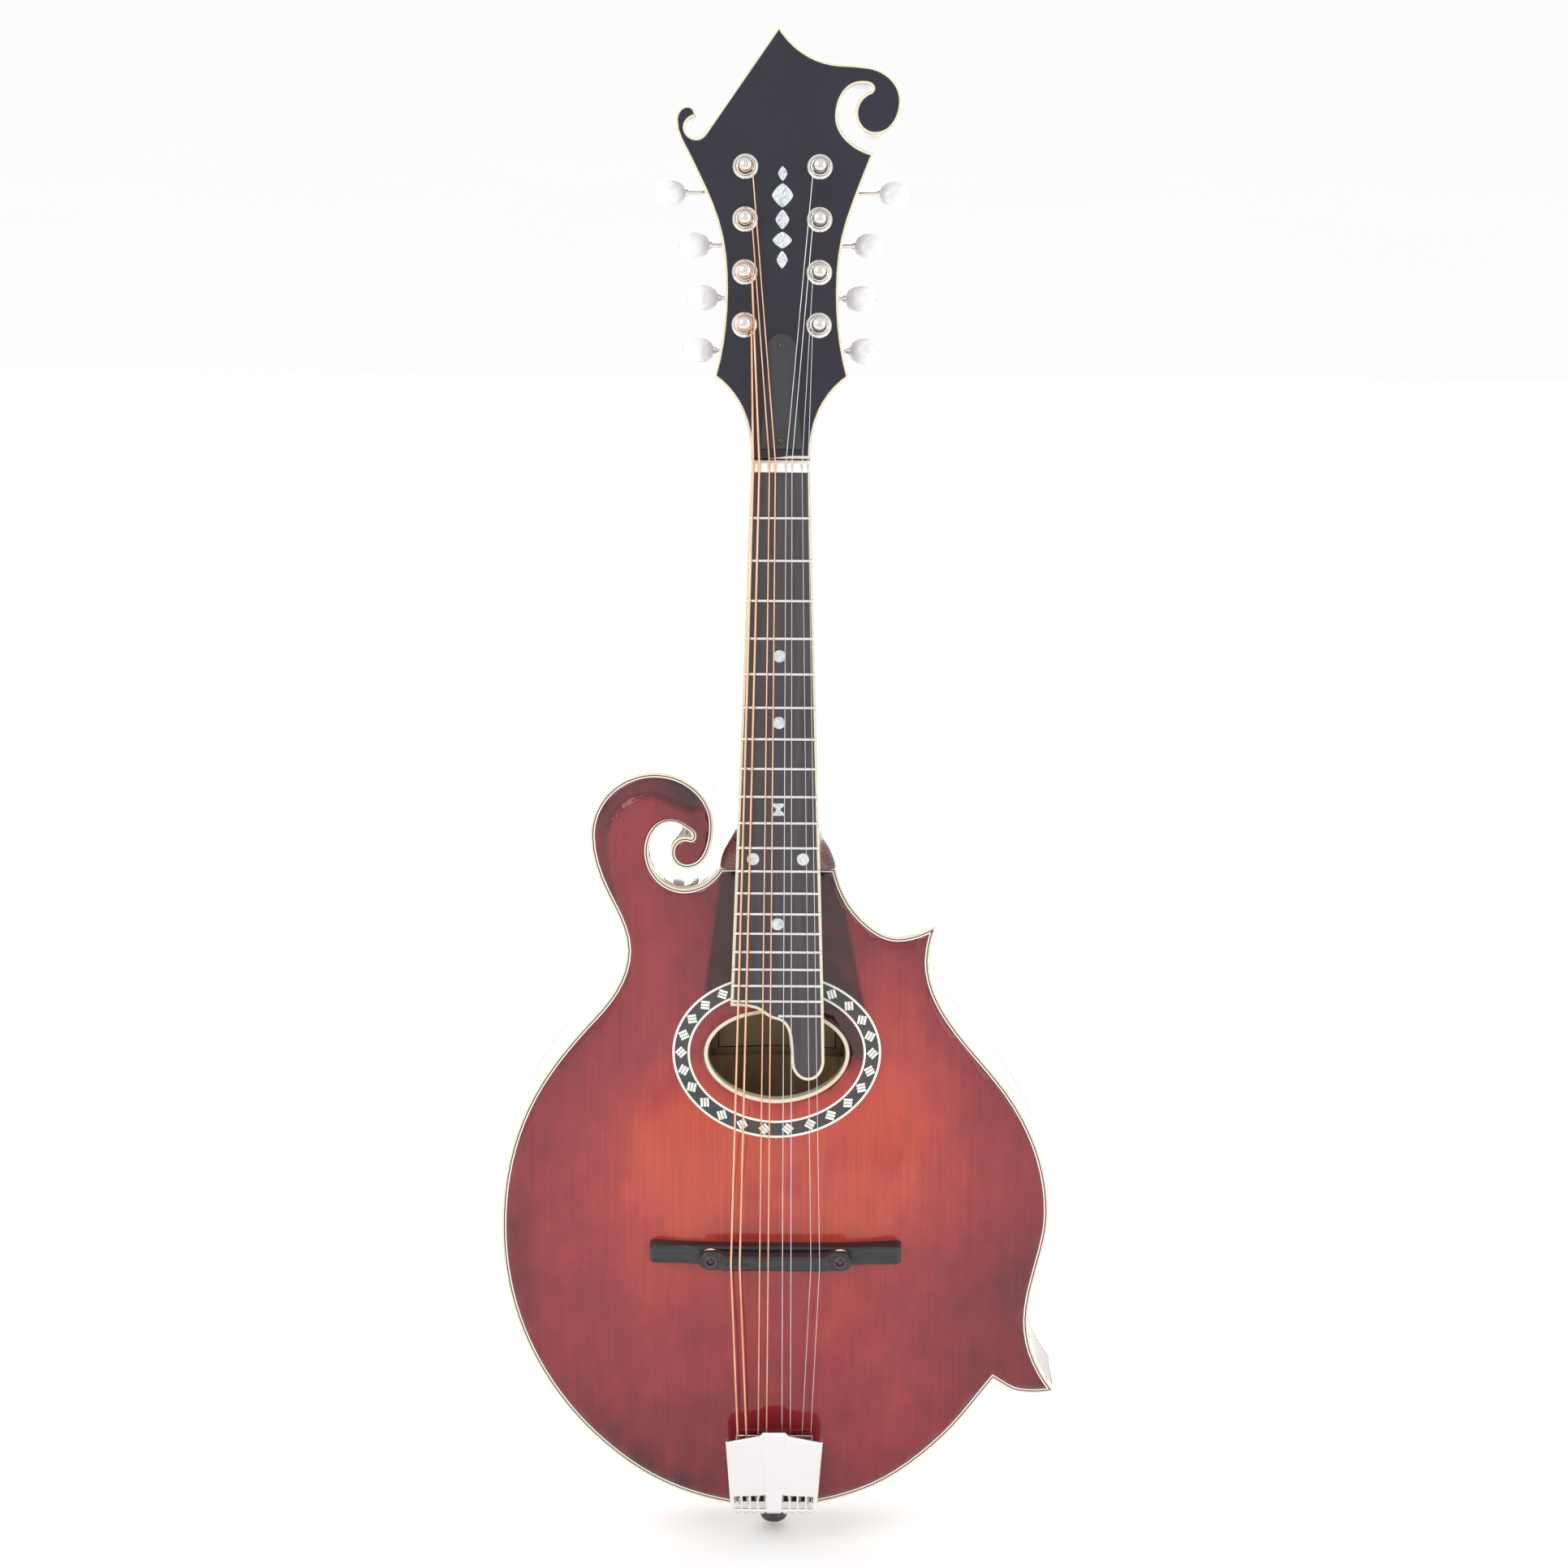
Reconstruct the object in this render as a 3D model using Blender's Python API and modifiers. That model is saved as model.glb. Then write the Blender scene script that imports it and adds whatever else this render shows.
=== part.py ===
"""Oval-hole scroll mandolin, built as a luthier builds it.

World frame, metres: +Z runs up the centre line to the headstock, -Y is the playing side,
+X is the treble side. The origin is the middle of the end pin's outer face, on the centre
line and half way through the depth of the ribs. Sizes below are in millimetres.
"""
import math

import bmesh
import bpy
from mathutils import Matrix, Vector
from mathutils.geometry import delaunay_2d_cdt

for old in list(bpy.data.objects):
    bpy.data.objects.remove(old, do_unlink=True)

MM = 0.001

# clearances
GAP = 0.3                 # between two pieces that touch on the real instrument
FIT = 0.35                # running clearance of turning and sliding pieces

# body
BODY_DEPTH = 45.0         # front plate edge to back plate edge
TAIL_Z = 16.0             # lowest point of the plates above the end pin's outer face
PLATE_T = 4.6             # carved plate thickness
TOP_ARCH = 14.0
BACK_ARCH = 13.0
ARCH_RUN = 100.0          # distance from the edge at which the arch is full
ARCH_RISE = 175.0         # length below the neck joint over which the arch grows
TOP_SHOULDER = 0.35       # share of the arch that is left at the neck joint
BACK_SHOULDER = 0.6
RIB_T = 2.2
BINDING_W = 1.8
LINING_T = 5.0
LINING_H = 9.0
JOINT_Z = 323.0           # where the neck heel meets the body
JOINT_HALF = 25.7
HEAD_BLOCK_L = 31.0
TAIL_BLOCK_HALF = 25.0
TAIL_BLOCK_T = 22.0

# tone bar, glued across under the top
BRACE_Z = 200.0
BRACE_HALF = 82.0
BRACE_W = 8.0
BRACE_H = 9.0

# soundhole and rosette half axes
HOLE_Z = 237.5
HOLE_A = 30.8
HOLE_B = 19.6
LAND_A = 8.1              # wood between the hole and the rosette, across and along
LAND_B = 9.7
ROSE_W = 7.8
ROSE_T = 1.2

# bridge
BRIDGE_Z = 146.73
BRIDGE_H = 17.4           # strings above the crown of the top
BASE_HALF = 56.5
BASE_W = 12.0
BASE_T = 5.0
SADDLE_HALF = 34.0
SADDLE_W = 7.0
SADDLE_CROWN = 23.5       # half length of the raised middle
SADDLE_END_T = 4.25       # thickness over the wheels
WHEEL_X = 29.0
WHEEL_R = 4.6
WHEEL_T = 1.8
WHEEL_UP = 1.5            # wheel above the base at mid height
STUD_R = 1.5
STUD_SHORT = 0.4          # stud end below the saddle's shoulder

# neck, board and strings
SCALE = 352.4             # nut to saddle, before compensation
COMPENSATION = 2.5
ACTION = 2.8              # strings above the plane of the board at the saddle
NUT_RISE = 5.4            # board surface at the nut, behind the front plate edge
BOARD_T = 5.5
NUT_HALF = 13.1
BOARD_GROW = 0.0317       # half width gained per millimetre of board
BOARD_BAND = 1.3
FRETS = 20
FRET_W = 1.4
FRET_H = 1.1
FRET_SUNK = 0.6
LAST_FRET_L = 17.1        # the last fret, over the tongue only
NUT_L = 5.0
NUT_TOP = 1.6             # nut above the board
NECK_T_NUT = 15.0
NECK_T_HEEL = 17.5
HEEL_L = 43.0             # heel above the neck joint
HEEL_CURVE = 36.0
HEEL_FLARE = 23.0
TONGUE_WOOD_L = 60.0      # neck wood carried over the top below the joint
ROD_W = 6.0
ROD_STOP = 27.0           # rod end above the neck joint
ROD_TOP = 2.0             # rod end below the nut

# headstock
HEAD_TILT = math.radians(16.0)
PLATE_HEAD_T = 2.4        # black headplate
HEAD_WOOD_T = 12.0
HEAD_BAND = 1.2
HEAD_DROP = 1.5           # headplate face below the board surface at the nut
HEAD_START = 0.9          # headplate above the nut
COVER_T = 1.5             # truss rod cover

# tuners
POST_X = 16.2
POST_FIRST = 58.0         # first post from the nut
POST_STEP = 23.0
POST_ROWS = 4
POST_R = 3.0
POST_OUT = 9.0            # post above the headplate
POST_HOLE_R = POST_R + FIT + 0.15
STRING_UP = 5.4           # string height above the headplate at the posts
GEAR_R = 5.9
GEAR_T = 3.0
WORM_R = 2.8
WORM_OFFSET = GEAR_R + GAP + WORM_R
WORM_L = 7.0
SHAFT_R = 1.1
LUG_T = 2.0
LUG_HALF = 3.0
TUNER_PLATE_T = 1.2
TUNER_PLATE_W = 17.0
TUNER_PLATE_END = 9.0     # plate past the last post
BUTTON_L = 13.3
BUTTON_W = 12.2
BUTTON_T = 8.0
BUTTON_X = (36.2, 34.3, 38.2, 49.0)

# tailpiece, its heights measured in front of the plate edge
SHEET = 1.2
BASE_SHEET_HALF = 17.5
BASE_SHEET_Z = 57.0
BASE_SHEET_BACK = 9.5     # sheet ends this far short of the back plate edge
FLANGE_UP = 3.9
COVER_TOP_Z = 60.0
COVER_LOW_Z = 17.5
COVER_TOP_HALF = 22.2
COVER_LOW_HALF = 19.6
COVER_TOP_UP = 16.5
COVER_LOW_UP = 10.0
COVER_DROP = 5.3          # corners of the upper edge below its middle
COVER_FLAT = 6.0          # half width of the raised middle
HOOK_Z = 27.0
PIN_R = 6.3
PIN_SHANK_R = 3.6
PIN_L = 15.5              # shank inside the plates' tail line

# strings from bass to treble: radius, place on nut, bridge and tailpiece
STRINGS = (
    ("g_low", 0.50, -11.9, -19.8, -15.6, 0),
    ("g_high", 0.50, -9.3, -15.9, -11.6, 1),
    ("d_low", 0.33, -4.9, -7.0, -7.4, 2),
    ("d_high", 0.33, -2.3, -3.2, -3.6, 3),
    ("a_low", 0.20, 2.3, 3.2, 3.6, 3),
    ("a_high", 0.20, 4.9, 7.0, 7.4, 2),
    ("e_low", 0.14, 9.3, 15.9, 11.6, 1),
    ("e_high", 0.14, 11.9, 19.8, 15.6, 0),
)

# curve fineness
TURN_STEP = 21.0          # most degrees between two points of an outline
LEN_STEP = 30.0
CELL = 17.0               # spacing of the carved plates' inner points
HOLE_SIDES = 10
BUTTON_SIDES = 10
POST_SIDES = 10
PIN_SIDES = 20

# what follows from the sizes above
FRONT = -BODY_DEPTH / 2
BACK = BODY_DEPTH / 2
RIB_Y = BODY_DEPTH / 2 - PLATE_T - GAP
STRING_L = SCALE + COMPENSATION
NECK_PITCH = math.asin((TOP_ARCH + BRIDGE_H + NUT_RISE - ACTION) / STRING_L)
NUT_Z = BRIDGE_Z + STRING_L * math.cos(NECK_PITCH)
ROSE_A = HOLE_A + LAND_A + ROSE_W
ROSE_B = HOLE_B + LAND_B + ROSE_W
HEEL_TOP_Z = JOINT_Z + HEEL_L
BLOCK_LOW = JOINT_Z - HEAD_BLOCK_L

# The body outline, walked from the tail up the bass side, round the scroll, across the neck
# joint and down the treble side: x, z, heading on arrival and, at a corner, on leaving.
BODY_LINE = (
    (0.0, TAIL_Z, 180),
    (-67.0, 37.5, 143),
    (-117.0, 107.0, 108),
    (-124.0, 152.0, 90),
    (-112.5, 209.0, 66),
    (-81.5, 253.5, 48),
    (-67.2, 284.0, 90),
    (-76.5, 311.0, 115),
    (-83.2, 337.0, 90),
    (-54.5, 366.0, 0),
    (-28.6, 342.0, -90),
    (-40.5, 322.0, 180),
    (-47.8, 329.5, 90),
    (-41.2, 336.8, 0),
    (-38.8, 336.4, -15),
    (-38.3, 337.9, 105),
    (-40.3, 339.9, 145),
    (-47.3, 343.2, 180),
    (-57.3, 330.0, -90),
    (-41.5, 312.8, 0),
    (-JOINT_HALF, JOINT_Z, 60, 0),
    (JOINT_HALF, JOINT_Z, 0, -78),
    (37.5, 299.7, -45),
    (53.5, 291.0, 0),
    (71.0, 297.0, 32, -108),
    (67.7, 280.0, -90),
    (77.0, 253.0, -57),
    (104.0, 218.4, -55),
    (123.4, 160.0, -90),
    (118.5, 132.0, -103),
    (115.0, 109.0, -90),
    (128.0, 74.4, -52, 195),
    (112.0, 73.6, 172),
    (100.0, 79.7, 150, 232),
    (78.3, 51.9, 226),
    (39.2, 23.7, 201),
)
SCROLL_END = 13           # knot where the bass rib stops inside the scroll
JOINT_BASS = 20
JOINT_TREBLE = 21
UPPER_POINT = 24
LOWER_POINT = 31
NOTCH = 33

# Headstock outline in its own plane, from the nut up the bass side and round: x, height.
HEAD_LINE = (
    (-13.2, 0.0, 180, 90),
    (-17.3, 21.0, 115),
    (-29.5, 35.5, 145, 74),
    (-24.7, 73.0, 90),
    (-28.8, 103.5, 108),
    (-41.0, 131.0, 116),
    (-47.0, 147.0, 88),
    (-41.6, 153.6, 0),
    (-38.0, 151.0, -75),
    (-37.6, 148.6, -90, 190),
    (-42.3, 144.3, 265),
    (-37.6, 139.4, 0),
    (-33.9, 141.9, 56),
    (-2.0, 189.0, 56, -61),
    (11.6, 175.6, -28),
    (24.5, 172.0, -3),
    (37.4, 171.0, -10),
    (51.6, 156.0, -90),
    (40.0, 141.1, 180),
    (31.3, 150.5, 90),
    (37.6, 159.9, 22),
    (38.6, 161.6, 105),
    (34.2, 163.3, 180),
    (23.8, 149.0, -90),
    (33.0, 135.6, -30),
    (39.8, 133.0, -14, -112),
    (28.8, 103.5, -108),
    (24.7, 73.0, -90),
    (29.5, 35.5, -74, -145),
    (17.3, 21.0, -115),
    (13.2, 0.0, -90, 180),
)

# End of the board, from the bass side round the tongue to the treble edge, as distance in
# from the treble edge and distance past a fret: past the last full fret, then past the last.
BASS_CLEAR = BOARD_BAND + GAP + FRET_W / 2 + 0.1
BASS_END = ((33.35, BASS_CLEAR), (29.95, BASS_CLEAR + 1.2))
TONGUE = (
    (27.35, 1.0),
    (21.35, 1.8),
    (17.15, 3.6),
    (15.35, 7.6),
    (14.75, 14.6),
    (14.15, 22.2),
    (11.15, 27.4),
    (6.55, 29.4),
    (2.15, 27.8),
    (-0.25, 23.2),
)

# Half of the truss rod cover's outline: half width and height above the headplate's end.
ROD_COVER = ((9.3, 4.0), (6.9, 38.0), (6.6, 50.0), (4.7, 53.0), (1.8, 54.4))

PARTS = bpy.data.collections.new("mandolin")
CUTTERS = bpy.data.collections.new("cutters")
bpy.context.scene.collection.children.link(PARTS)
bpy.context.scene.collection.children.link(CUTTERS)


def material(name, colour, rough, metal=0.0):
    mat = bpy.data.materials.new(name)
    mat.use_nodes = True
    shader = mat.node_tree.nodes["Principled BSDF"]
    shader.inputs["Base Color"].default_value = (*colour, 1.0)
    shader.inputs["Roughness"].default_value = rough
    shader.inputs["Metallic"].default_value = metal
    return mat


SPRUCE = material("stained_spruce", (0.36, 0.045, 0.02), 0.2)
MAPLE = material("stained_maple", (0.26, 0.03, 0.015), 0.2)
INNER = material("bare_wood", (0.62, 0.45, 0.26), 0.7)
EBONY = material("ebony", (0.012, 0.011, 0.013), 0.4)
IVORY = material("ivory_binding", (0.85, 0.79, 0.62), 0.35)
BONE = material("bone", (0.87, 0.84, 0.76), 0.4)
NICKEL = material("nickel", (0.75, 0.73, 0.69), 0.2, 1.0)
STEEL = material("steel", (0.6, 0.6, 0.6), 0.3, 1.0)
BRONZE = material("bronze_wound", (0.72, 0.42, 0.24), 0.35, 1.0)
PEARL = material("pearloid", (0.86, 0.86, 0.89), 0.3)
BLACK = material("black_sheet", (0.02, 0.02, 0.022), 0.35)


# ---------------------------------------------------------------- outlines
def turned(a, b):
    """Signed angle from heading a to heading b."""
    return (b - a + 180.0) % 360.0 - 180.0


def heading(degrees):
    return Vector((math.cos(math.radians(degrees)), math.sin(math.radians(degrees))))


def walk(knots, turn_step, len_step):
    """Smooth closed line through the knots: points and, for each, its knot number plus fraction."""
    pts = []
    marks = []
    count = len(knots)
    for i in range(count):
        a = knots[i]
        b = knots[(i + 1) % count]
        leave = a[3] if len(a) > 3 else a[2]
        arrive = b[2]
        p0 = Vector(a[:2])
        p3 = Vector(b[:2])
        chord = (p3 - p0).length
        along_chord = math.degrees(math.atan2(p3.y - p0.y, p3.x - p0.x))
        bends = (turned(leave, along_chord), turned(along_chord, arrive))
        reach = chord / (3.0 * math.cos(math.radians(sum(bends)) / 4.0) ** 2)
        p1 = p0 + reach * heading(leave)
        p2 = p3 - reach * heading(arrive)
        bend = abs(bends[0]) + abs(bends[1])
        steps = max(1, math.ceil(bend / turn_step - 0.2))
        if bend > 4.0:
            steps = max(steps, math.ceil(chord / len_step))
        for k in range(steps):
            t = k / steps
            u = 1.0 - t
            pts.append(u ** 3 * p0 + 3 * u * u * t * p1 + 3 * u * t * t * p2 + t ** 3 * p3)
            marks.append(i + t)
    return pts, marks


def inset(pts, dist):
    """Closed clockwise line moved inward, mitred at the corners."""
    out = []
    count = len(pts)
    for i in range(count):
        before = (pts[i] - pts[i - 1]).normalized()
        after = (pts[(i + 1) % count] - pts[i]).normalized()
        n1 = Vector((before.y, -before.x))
        n2 = Vector((after.y, -after.x))
        mid = (n1 + n2).normalized()
        out.append(pts[i] + mid * dist / max(mid.dot(n1), 0.3))
    return out


BODY, BODY_MARKS = walk(BODY_LINE, TURN_STEP, LEN_STEP)
HEAD, _ = walk(HEAD_LINE, TURN_STEP, LEN_STEP)
NEAR_KNOT = 1e-6


def stretch(start, end):
    """Numbers of the body points between two knots, passing the tail when end < start."""
    count = len(BODY)
    if end > start:
        return [i for i in range(count) if start - NEAR_KNOT <= BODY_MARKS[i] <= end + NEAR_KNOT]
    late = [i for i in range(count) if BODY_MARKS[i] >= start - NEAR_KNOT]
    return late + [i for i in range(count) if BODY_MARKS[i] <= end + NEAR_KNOT]


def part_of(loop, start, end):
    """Copy of the points of a line that follows the body between two knots."""
    return [loop[i].copy() for i in stretch(start, end)]


def body_corner(knot):
    """Number of the body point at a knot."""
    return min(range(len(BODY)), key=lambda i: abs(BODY_MARKS[i] - knot))


def edge_distance(p, loop, skip_joint=True):
    best = math.inf
    count = len(loop)
    for i in range(count):
        if skip_joint and abs(BODY_MARKS[i] - JOINT_BASS) < NEAR_KNOT:
            continue
        a = loop[i]
        ab = loop[(i + 1) % count] - a
        t = max(0.0, min(1.0, (p - a).dot(ab) / ab.length_squared))
        best = min(best, (p - a - t * ab).length)
    return best


def inside(p, loop):
    hit = False
    j = len(loop) - 1
    for i, a in enumerate(loop):
        b = loop[j]
        if (a.y > p.y) != (b.y > p.y) and p.x < (b.x - a.x) * (p.y - a.y) / (b.y - a.y) + a.x:
            hit = not hit
        j = i
    return hit


def ease(t):
    t = max(0.0, min(1.0, t))
    return t * t * (3.0 - 2.0 * t)


def arch(x, z, full, shoulder):
    """Height of a carved plate above its edge."""
    d = edge_distance(Vector((x, z)), BODY)
    rise = (1.0 - math.cos(math.pi * min(d / ARCH_RUN, 1.0))) / 2.0
    return full * rise * (shoulder + (1.0 - shoulder) * ease((JOINT_Z - z) / ARCH_RISE))


def top_arch(x, z):
    return arch(x, z, TOP_ARCH, TOP_SHOULDER)


def back_arch(x, z):
    return arch(x, z, BACK_ARCH, BACK_SHOULDER)


def top_y(x, z):
    return FRONT - top_arch(x, z)


def board_y(z):
    """Front face of the fingerboard, carried on past its end."""
    return FRONT + NUT_RISE - math.tan(NECK_PITCH) * (NUT_Z - z)


def half_board(s):
    """Half width of the board at a distance from the nut."""
    return NUT_HALF + BOARD_GROW * s


def fret_s(n):
    """Distance of a fret from the nut."""
    return SCALE * (1.0 - 2.0 ** (-n / 12.0))


# ---------------------------------------------------------------- making objects
FACING = (math.pi / 2, 0.0, 0.0)               # local X, Y, Z become X, Z, -Y
SIDEWAYS = (math.pi / 2, 0.0, math.pi / 2)     # local X, Y, Z become Y, Z, X
SMOOTH = math.radians(35.0)
WELD = 1e-6                                    # metres


def link(name, data, mat, parent=None, home=PARTS):
    obj = bpy.data.objects.new(name, data)
    home.objects.link(obj)
    obj.parent = parent
    if mat:
        data.materials.append(mat)
    if home == CUTTERS:
        obj.hide_render = True
        obj.display_type = "WIRE"
    return obj


def finish(name, bm, mat, parent=None, home=PARTS):
    """Object from a bmesh, its faces turned outward."""
    bmesh.ops.recalc_face_normals(bm, faces=bm.faces)
    mesh = bpy.data.meshes.new(name)
    bm.to_mesh(mesh)
    bm.free()
    mesh.shade_smooth()
    mesh.set_sharp_from_angle(angle=SMOOTH)
    return link(name, mesh, mat, parent, home)


def sheet(name, loops, y0, y1, mat, parent=None, home=PARTS):
    """Flat outline in the XZ plane, thick from y0 to y1; a second loop is a hole."""
    curve = bpy.data.curves.new(name, "CURVE")
    curve.dimensions = "2D"
    curve.fill_mode = "BOTH"
    curve.extrude = (y1 - y0) / 2 * MM
    for loop in loops:
        spline = curve.splines.new("POLY")
        spline.points.add(len(loop) - 1)
        for point, p in zip(spline.points, loop):
            point.co = (p.x * MM, p.y * MM, 0.0, 1.0)
        spline.use_cyclic_u = True
    obj = link(name, curve, mat, parent, home)
    obj.rotation_euler = FACING
    obj.location = (0.0, (y0 + y1) / 2 * MM, 0.0)
    return obj


def as_mesh(obj):
    """Curve object made a mesh in the same place, its caps welded to its sides."""
    bpy.context.view_layer.update()
    graph = bpy.context.evaluated_depsgraph_get()
    mesh = bpy.data.meshes.new_from_object(obj.evaluated_get(graph))
    bm = bmesh.new()
    bm.from_mesh(mesh)
    bmesh.ops.remove_doubles(bm, verts=bm.verts, dist=WELD)
    bmesh.ops.recalc_face_normals(bm, faces=bm.faces)
    bm.to_mesh(mesh)
    bm.free()
    name = obj.name
    parent = obj.parent
    home = obj.users_collection[0]
    place = obj.matrix_world.copy()
    bpy.data.objects.remove(obj, do_unlink=True)
    solid = link(name, mesh, None, parent, home)
    solid.matrix_world = place
    return solid


def strip_outline(outer, inner):
    """Outline of the strip between two open lines."""
    return outer + inner[::-1]


def loft(name, rings, mat, parent=None, home=PARTS, closed=False):
    """Skin over unlike sections of equal count, capped at both ends or joined in a ring."""
    bm = bmesh.new()
    rows = [[bm.verts.new(Vector(p) * MM) for p in ring] for ring in rings]
    pairs = list(zip(rows, rows[1:]))
    if closed:
        pairs.append((rows[-1], rows[0]))
    else:
        bm.faces.new(rows[0])
        bm.faces.new(rows[-1])
    for low, high in pairs:
        for j in range(len(low)):
            k = (j + 1) % len(low)
            bm.faces.new((low[j], low[k], high[k], high[j]))
    return finish(name, bm, mat, parent, home)


def blocks(name, corners, mat=None, parent=None, home=PARTS):
    """Boxes given by their low and high corners, as one mesh."""
    bm = bmesh.new()
    for low, high in corners:
        size = Vector(high) - Vector(low)
        middle = (Vector(high) + Vector(low)) / 2
        place = Matrix.Translation(middle * MM) @ Matrix.Diagonal((*(size * MM), 1.0))
        bmesh.ops.create_cube(bm, size=1.0, matrix=place)
    return finish(name, bm, mat, parent, home)


def rods(name, radius, centres, axis, start, end, sides=HOLE_SIDES, parent=None, home=CUTTERS):
    """Cylinders along one axis, from start to end measured from each centre, as one mesh."""
    bm = bmesh.new()
    way = Vector(axis)
    turn = Vector((0.0, 0.0, 1.0)).rotation_difference(way).to_matrix().to_4x4()
    for centre in centres:
        middle = Vector(centre) + way * (start + end) / 2
        bmesh.ops.create_cone(bm, cap_ends=True, segments=sides, radius1=radius * MM,
                              radius2=radius * MM, depth=(end - start) * MM,
                              matrix=Matrix.Translation(middle * MM) @ turn)
    return finish(name, bm, None, parent, home)


def turned_piece(name, profile, mat, sides, parent=None, home=PARTS, ring=False):
    """Profile of radius and height, from the top down the outside, spun about local Z."""
    rows = list(profile)
    if not ring:
        rows = [(0.0, rows[0][1])] + rows + [(0.0, rows[-1][1])]
    edges = [(i, i + 1) for i in range(len(rows) - 1)]
    if ring:
        edges.append((len(rows) - 1, 0))
    mesh = bpy.data.meshes.new(name)
    mesh.from_pydata([(r * MM, 0.0, h * MM) for r, h in rows], edges, [])
    obj = link(name, mesh, mat, parent, home)
    screw = obj.modifiers.new("turn", "SCREW")
    screw.axis = "Z"
    screw.angle = 2.0 * math.pi
    screw.steps = sides
    screw.render_steps = sides
    screw.use_merge_vertices = True
    screw.merge_threshold = WELD
    return obj


def boolean(obj, tool, kind):
    mod = obj.modifiers.new(kind.lower(), "BOOLEAN")
    mod.operation = kind
    mod.solver = "EXACT"
    mod.object = tool


def solidify(obj, thickness, even=False):
    """Thickness grown behind the surface."""
    mod = obj.modifiers.new("thickness", "SOLIDIFY")
    mod.thickness = thickness * MM
    mod.offset = -1.0
    mod.use_even_offset = even


def frame(name, where, tilt):
    """Empty whose local Z runs up the tilted piece and whose local -Y is its face."""
    obj = bpy.data.objects.new(name, None)
    obj.location = Vector(where) * MM
    obj.rotation_euler = (-tilt, 0.0, 0.0)
    PARTS.objects.link(obj)
    return obj


# ---------------------------------------------------------------- carved plates
PLATE_LINE = inset(BODY, BINDING_W + GAP)
BAND_LINE = inset(BODY, BINDING_W)
HOLE_RING = 32
HOLE_LEAN = 0.0085 * TOP_ARCH * PLATE_T        # the plate's cut edge leans at the hole
HOLE_GAP = GAP + HOLE_LEAN
ROSE_RING = 40


def ellipse(a, b, count):
    """Points round the soundhole's centre."""
    angles = [-2.0 * math.pi * k / count for k in range(count)]
    return [Vector((a * math.cos(t), HOLE_Z + b * math.sin(t))) for t in angles]


def inner_points(loop, hole):
    """Triangular grid inside the plate, clear of its edges."""
    clear = 0.45 * CELL
    row_h = CELL * math.sqrt(3.0) / 2.0
    top = max(p.y for p in loop)
    reach = max(abs(p.x) for p in loop)
    cols = math.ceil(reach / CELL) + 1
    for row in range(int((top - TAIL_Z) / row_h) + 1):
        for col in range(-cols, cols + 1):
            p = Vector(((col + 0.5 * (row % 2)) * CELL, TAIL_Z + row * row_h))
            if not inside(p, loop) or edge_distance(p, loop, False) < clear:
                continue
            if hole and (inside(p, hole) or min((p - q).length for q in hole) < clear):
                continue
            yield p


def carved(name, loop, hole, height, side, mat):
    """Arched sheet over a closed line, thickened to the inside of the body."""
    coords = list(loop) + list(hole)
    edges = [(i, (i + 1) % len(loop)) for i in range(len(loop))]
    edges += [(len(loop) + i, len(loop) + (i + 1) % len(hole)) for i in range(len(hole))]
    coords += inner_points(loop, hole)
    verts, _, tris, *_ = delaunay_2d_cdt(coords, edges, [], 0, 1e-5)
    base = FRONT if side < 0 else BACK
    bm = bmesh.new()
    points = [bm.verts.new(Vector((v.x, base + side * height(v.x, v.y), v.y)) * MM) for v in verts]
    for tri in tris:
        mid = sum((verts[i] for i in tri), Vector((0.0, 0.0))) / 3.0
        if inside(mid, loop) and not (hole and inside(mid, hole)):
            bm.faces.new([points[i] for i in tri])
    bmesh.ops.delete(bm, geom=[v for v in bm.verts if not v.link_faces], context="VERTS")
    bmesh.ops.recalc_face_normals(bm, faces=bm.faces)
    if sum(f.normal.y for f in bm.faces) * side < 0:
        bmesh.ops.reverse_faces(bm, faces=bm.faces)
    mesh = bpy.data.meshes.new(name)
    bm.to_mesh(mesh)
    bm.free()
    mesh.shade_smooth()
    obj = link(name, mesh, mat)
    solidify(obj, PLATE_T)
    return obj


def ring_on_top(name, half_axes, width, points, up, down, mat, home=PARTS):
    """Elliptical ring that follows the arch, from up above the surface to down below it."""
    a, b = half_axes
    sections = []
    for o, i in zip(ellipse(a, b, points), ellipse(a - width, b - width, points)):
        yo = top_y(o.x, o.y)
        yi = top_y(i.x, i.y)
        sections.append([(o.x, yo - up, o.y), (o.x, yo + down, o.y),
                         (i.x, yi + down, i.y), (i.x, yi - up, i.y)])
    return loft(name, sections, mat, home=home, closed=True)


hole_wood = ellipse(HOLE_A + BINDING_W + HOLE_GAP, HOLE_B + BINDING_W + HOLE_GAP, HOLE_RING)
top_plate = carved("top_plate", PLATE_LINE, hole_wood, top_arch, -1, SPRUCE)
carved("back_plate", PLATE_LINE, [], back_arch, 1, MAPLE)
pocket = ring_on_top("rosette_pocket", (ROSE_A + FIT, ROSE_B + FIT), ROSE_W + 2 * FIT, ROSE_RING,
                     3.0, ROSE_T + GAP, None, CUTTERS)
boolean(top_plate, pocket, "DIFFERENCE")
ring_on_top("rosette", (ROSE_A, ROSE_B), ROSE_W, ROSE_RING, 0.0, ROSE_T, EBONY)
ring_on_top("soundhole_binding", (HOLE_A + BINDING_W, HOLE_B + BINDING_W), BINDING_W, HOLE_RING,
            0.0, PLATE_T, IVORY)
sheet("top_binding", (BODY, BAND_LINE), FRONT, FRONT + PLATE_T, IVORY)
sheet("back_binding", (BODY, BAND_LINE), BACK - PLATE_T, BACK, IVORY)

# ---------------------------------------------------------------- ribs, linings and blocks
RIB_INNER = inset(BODY, RIB_T)
SEAM_LINE = inset(BODY, RIB_T + GAP)           # what is glued to the ribs starts here
LINING_INNER = inset(BODY, RIB_T + GAP + LINING_T)


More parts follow.
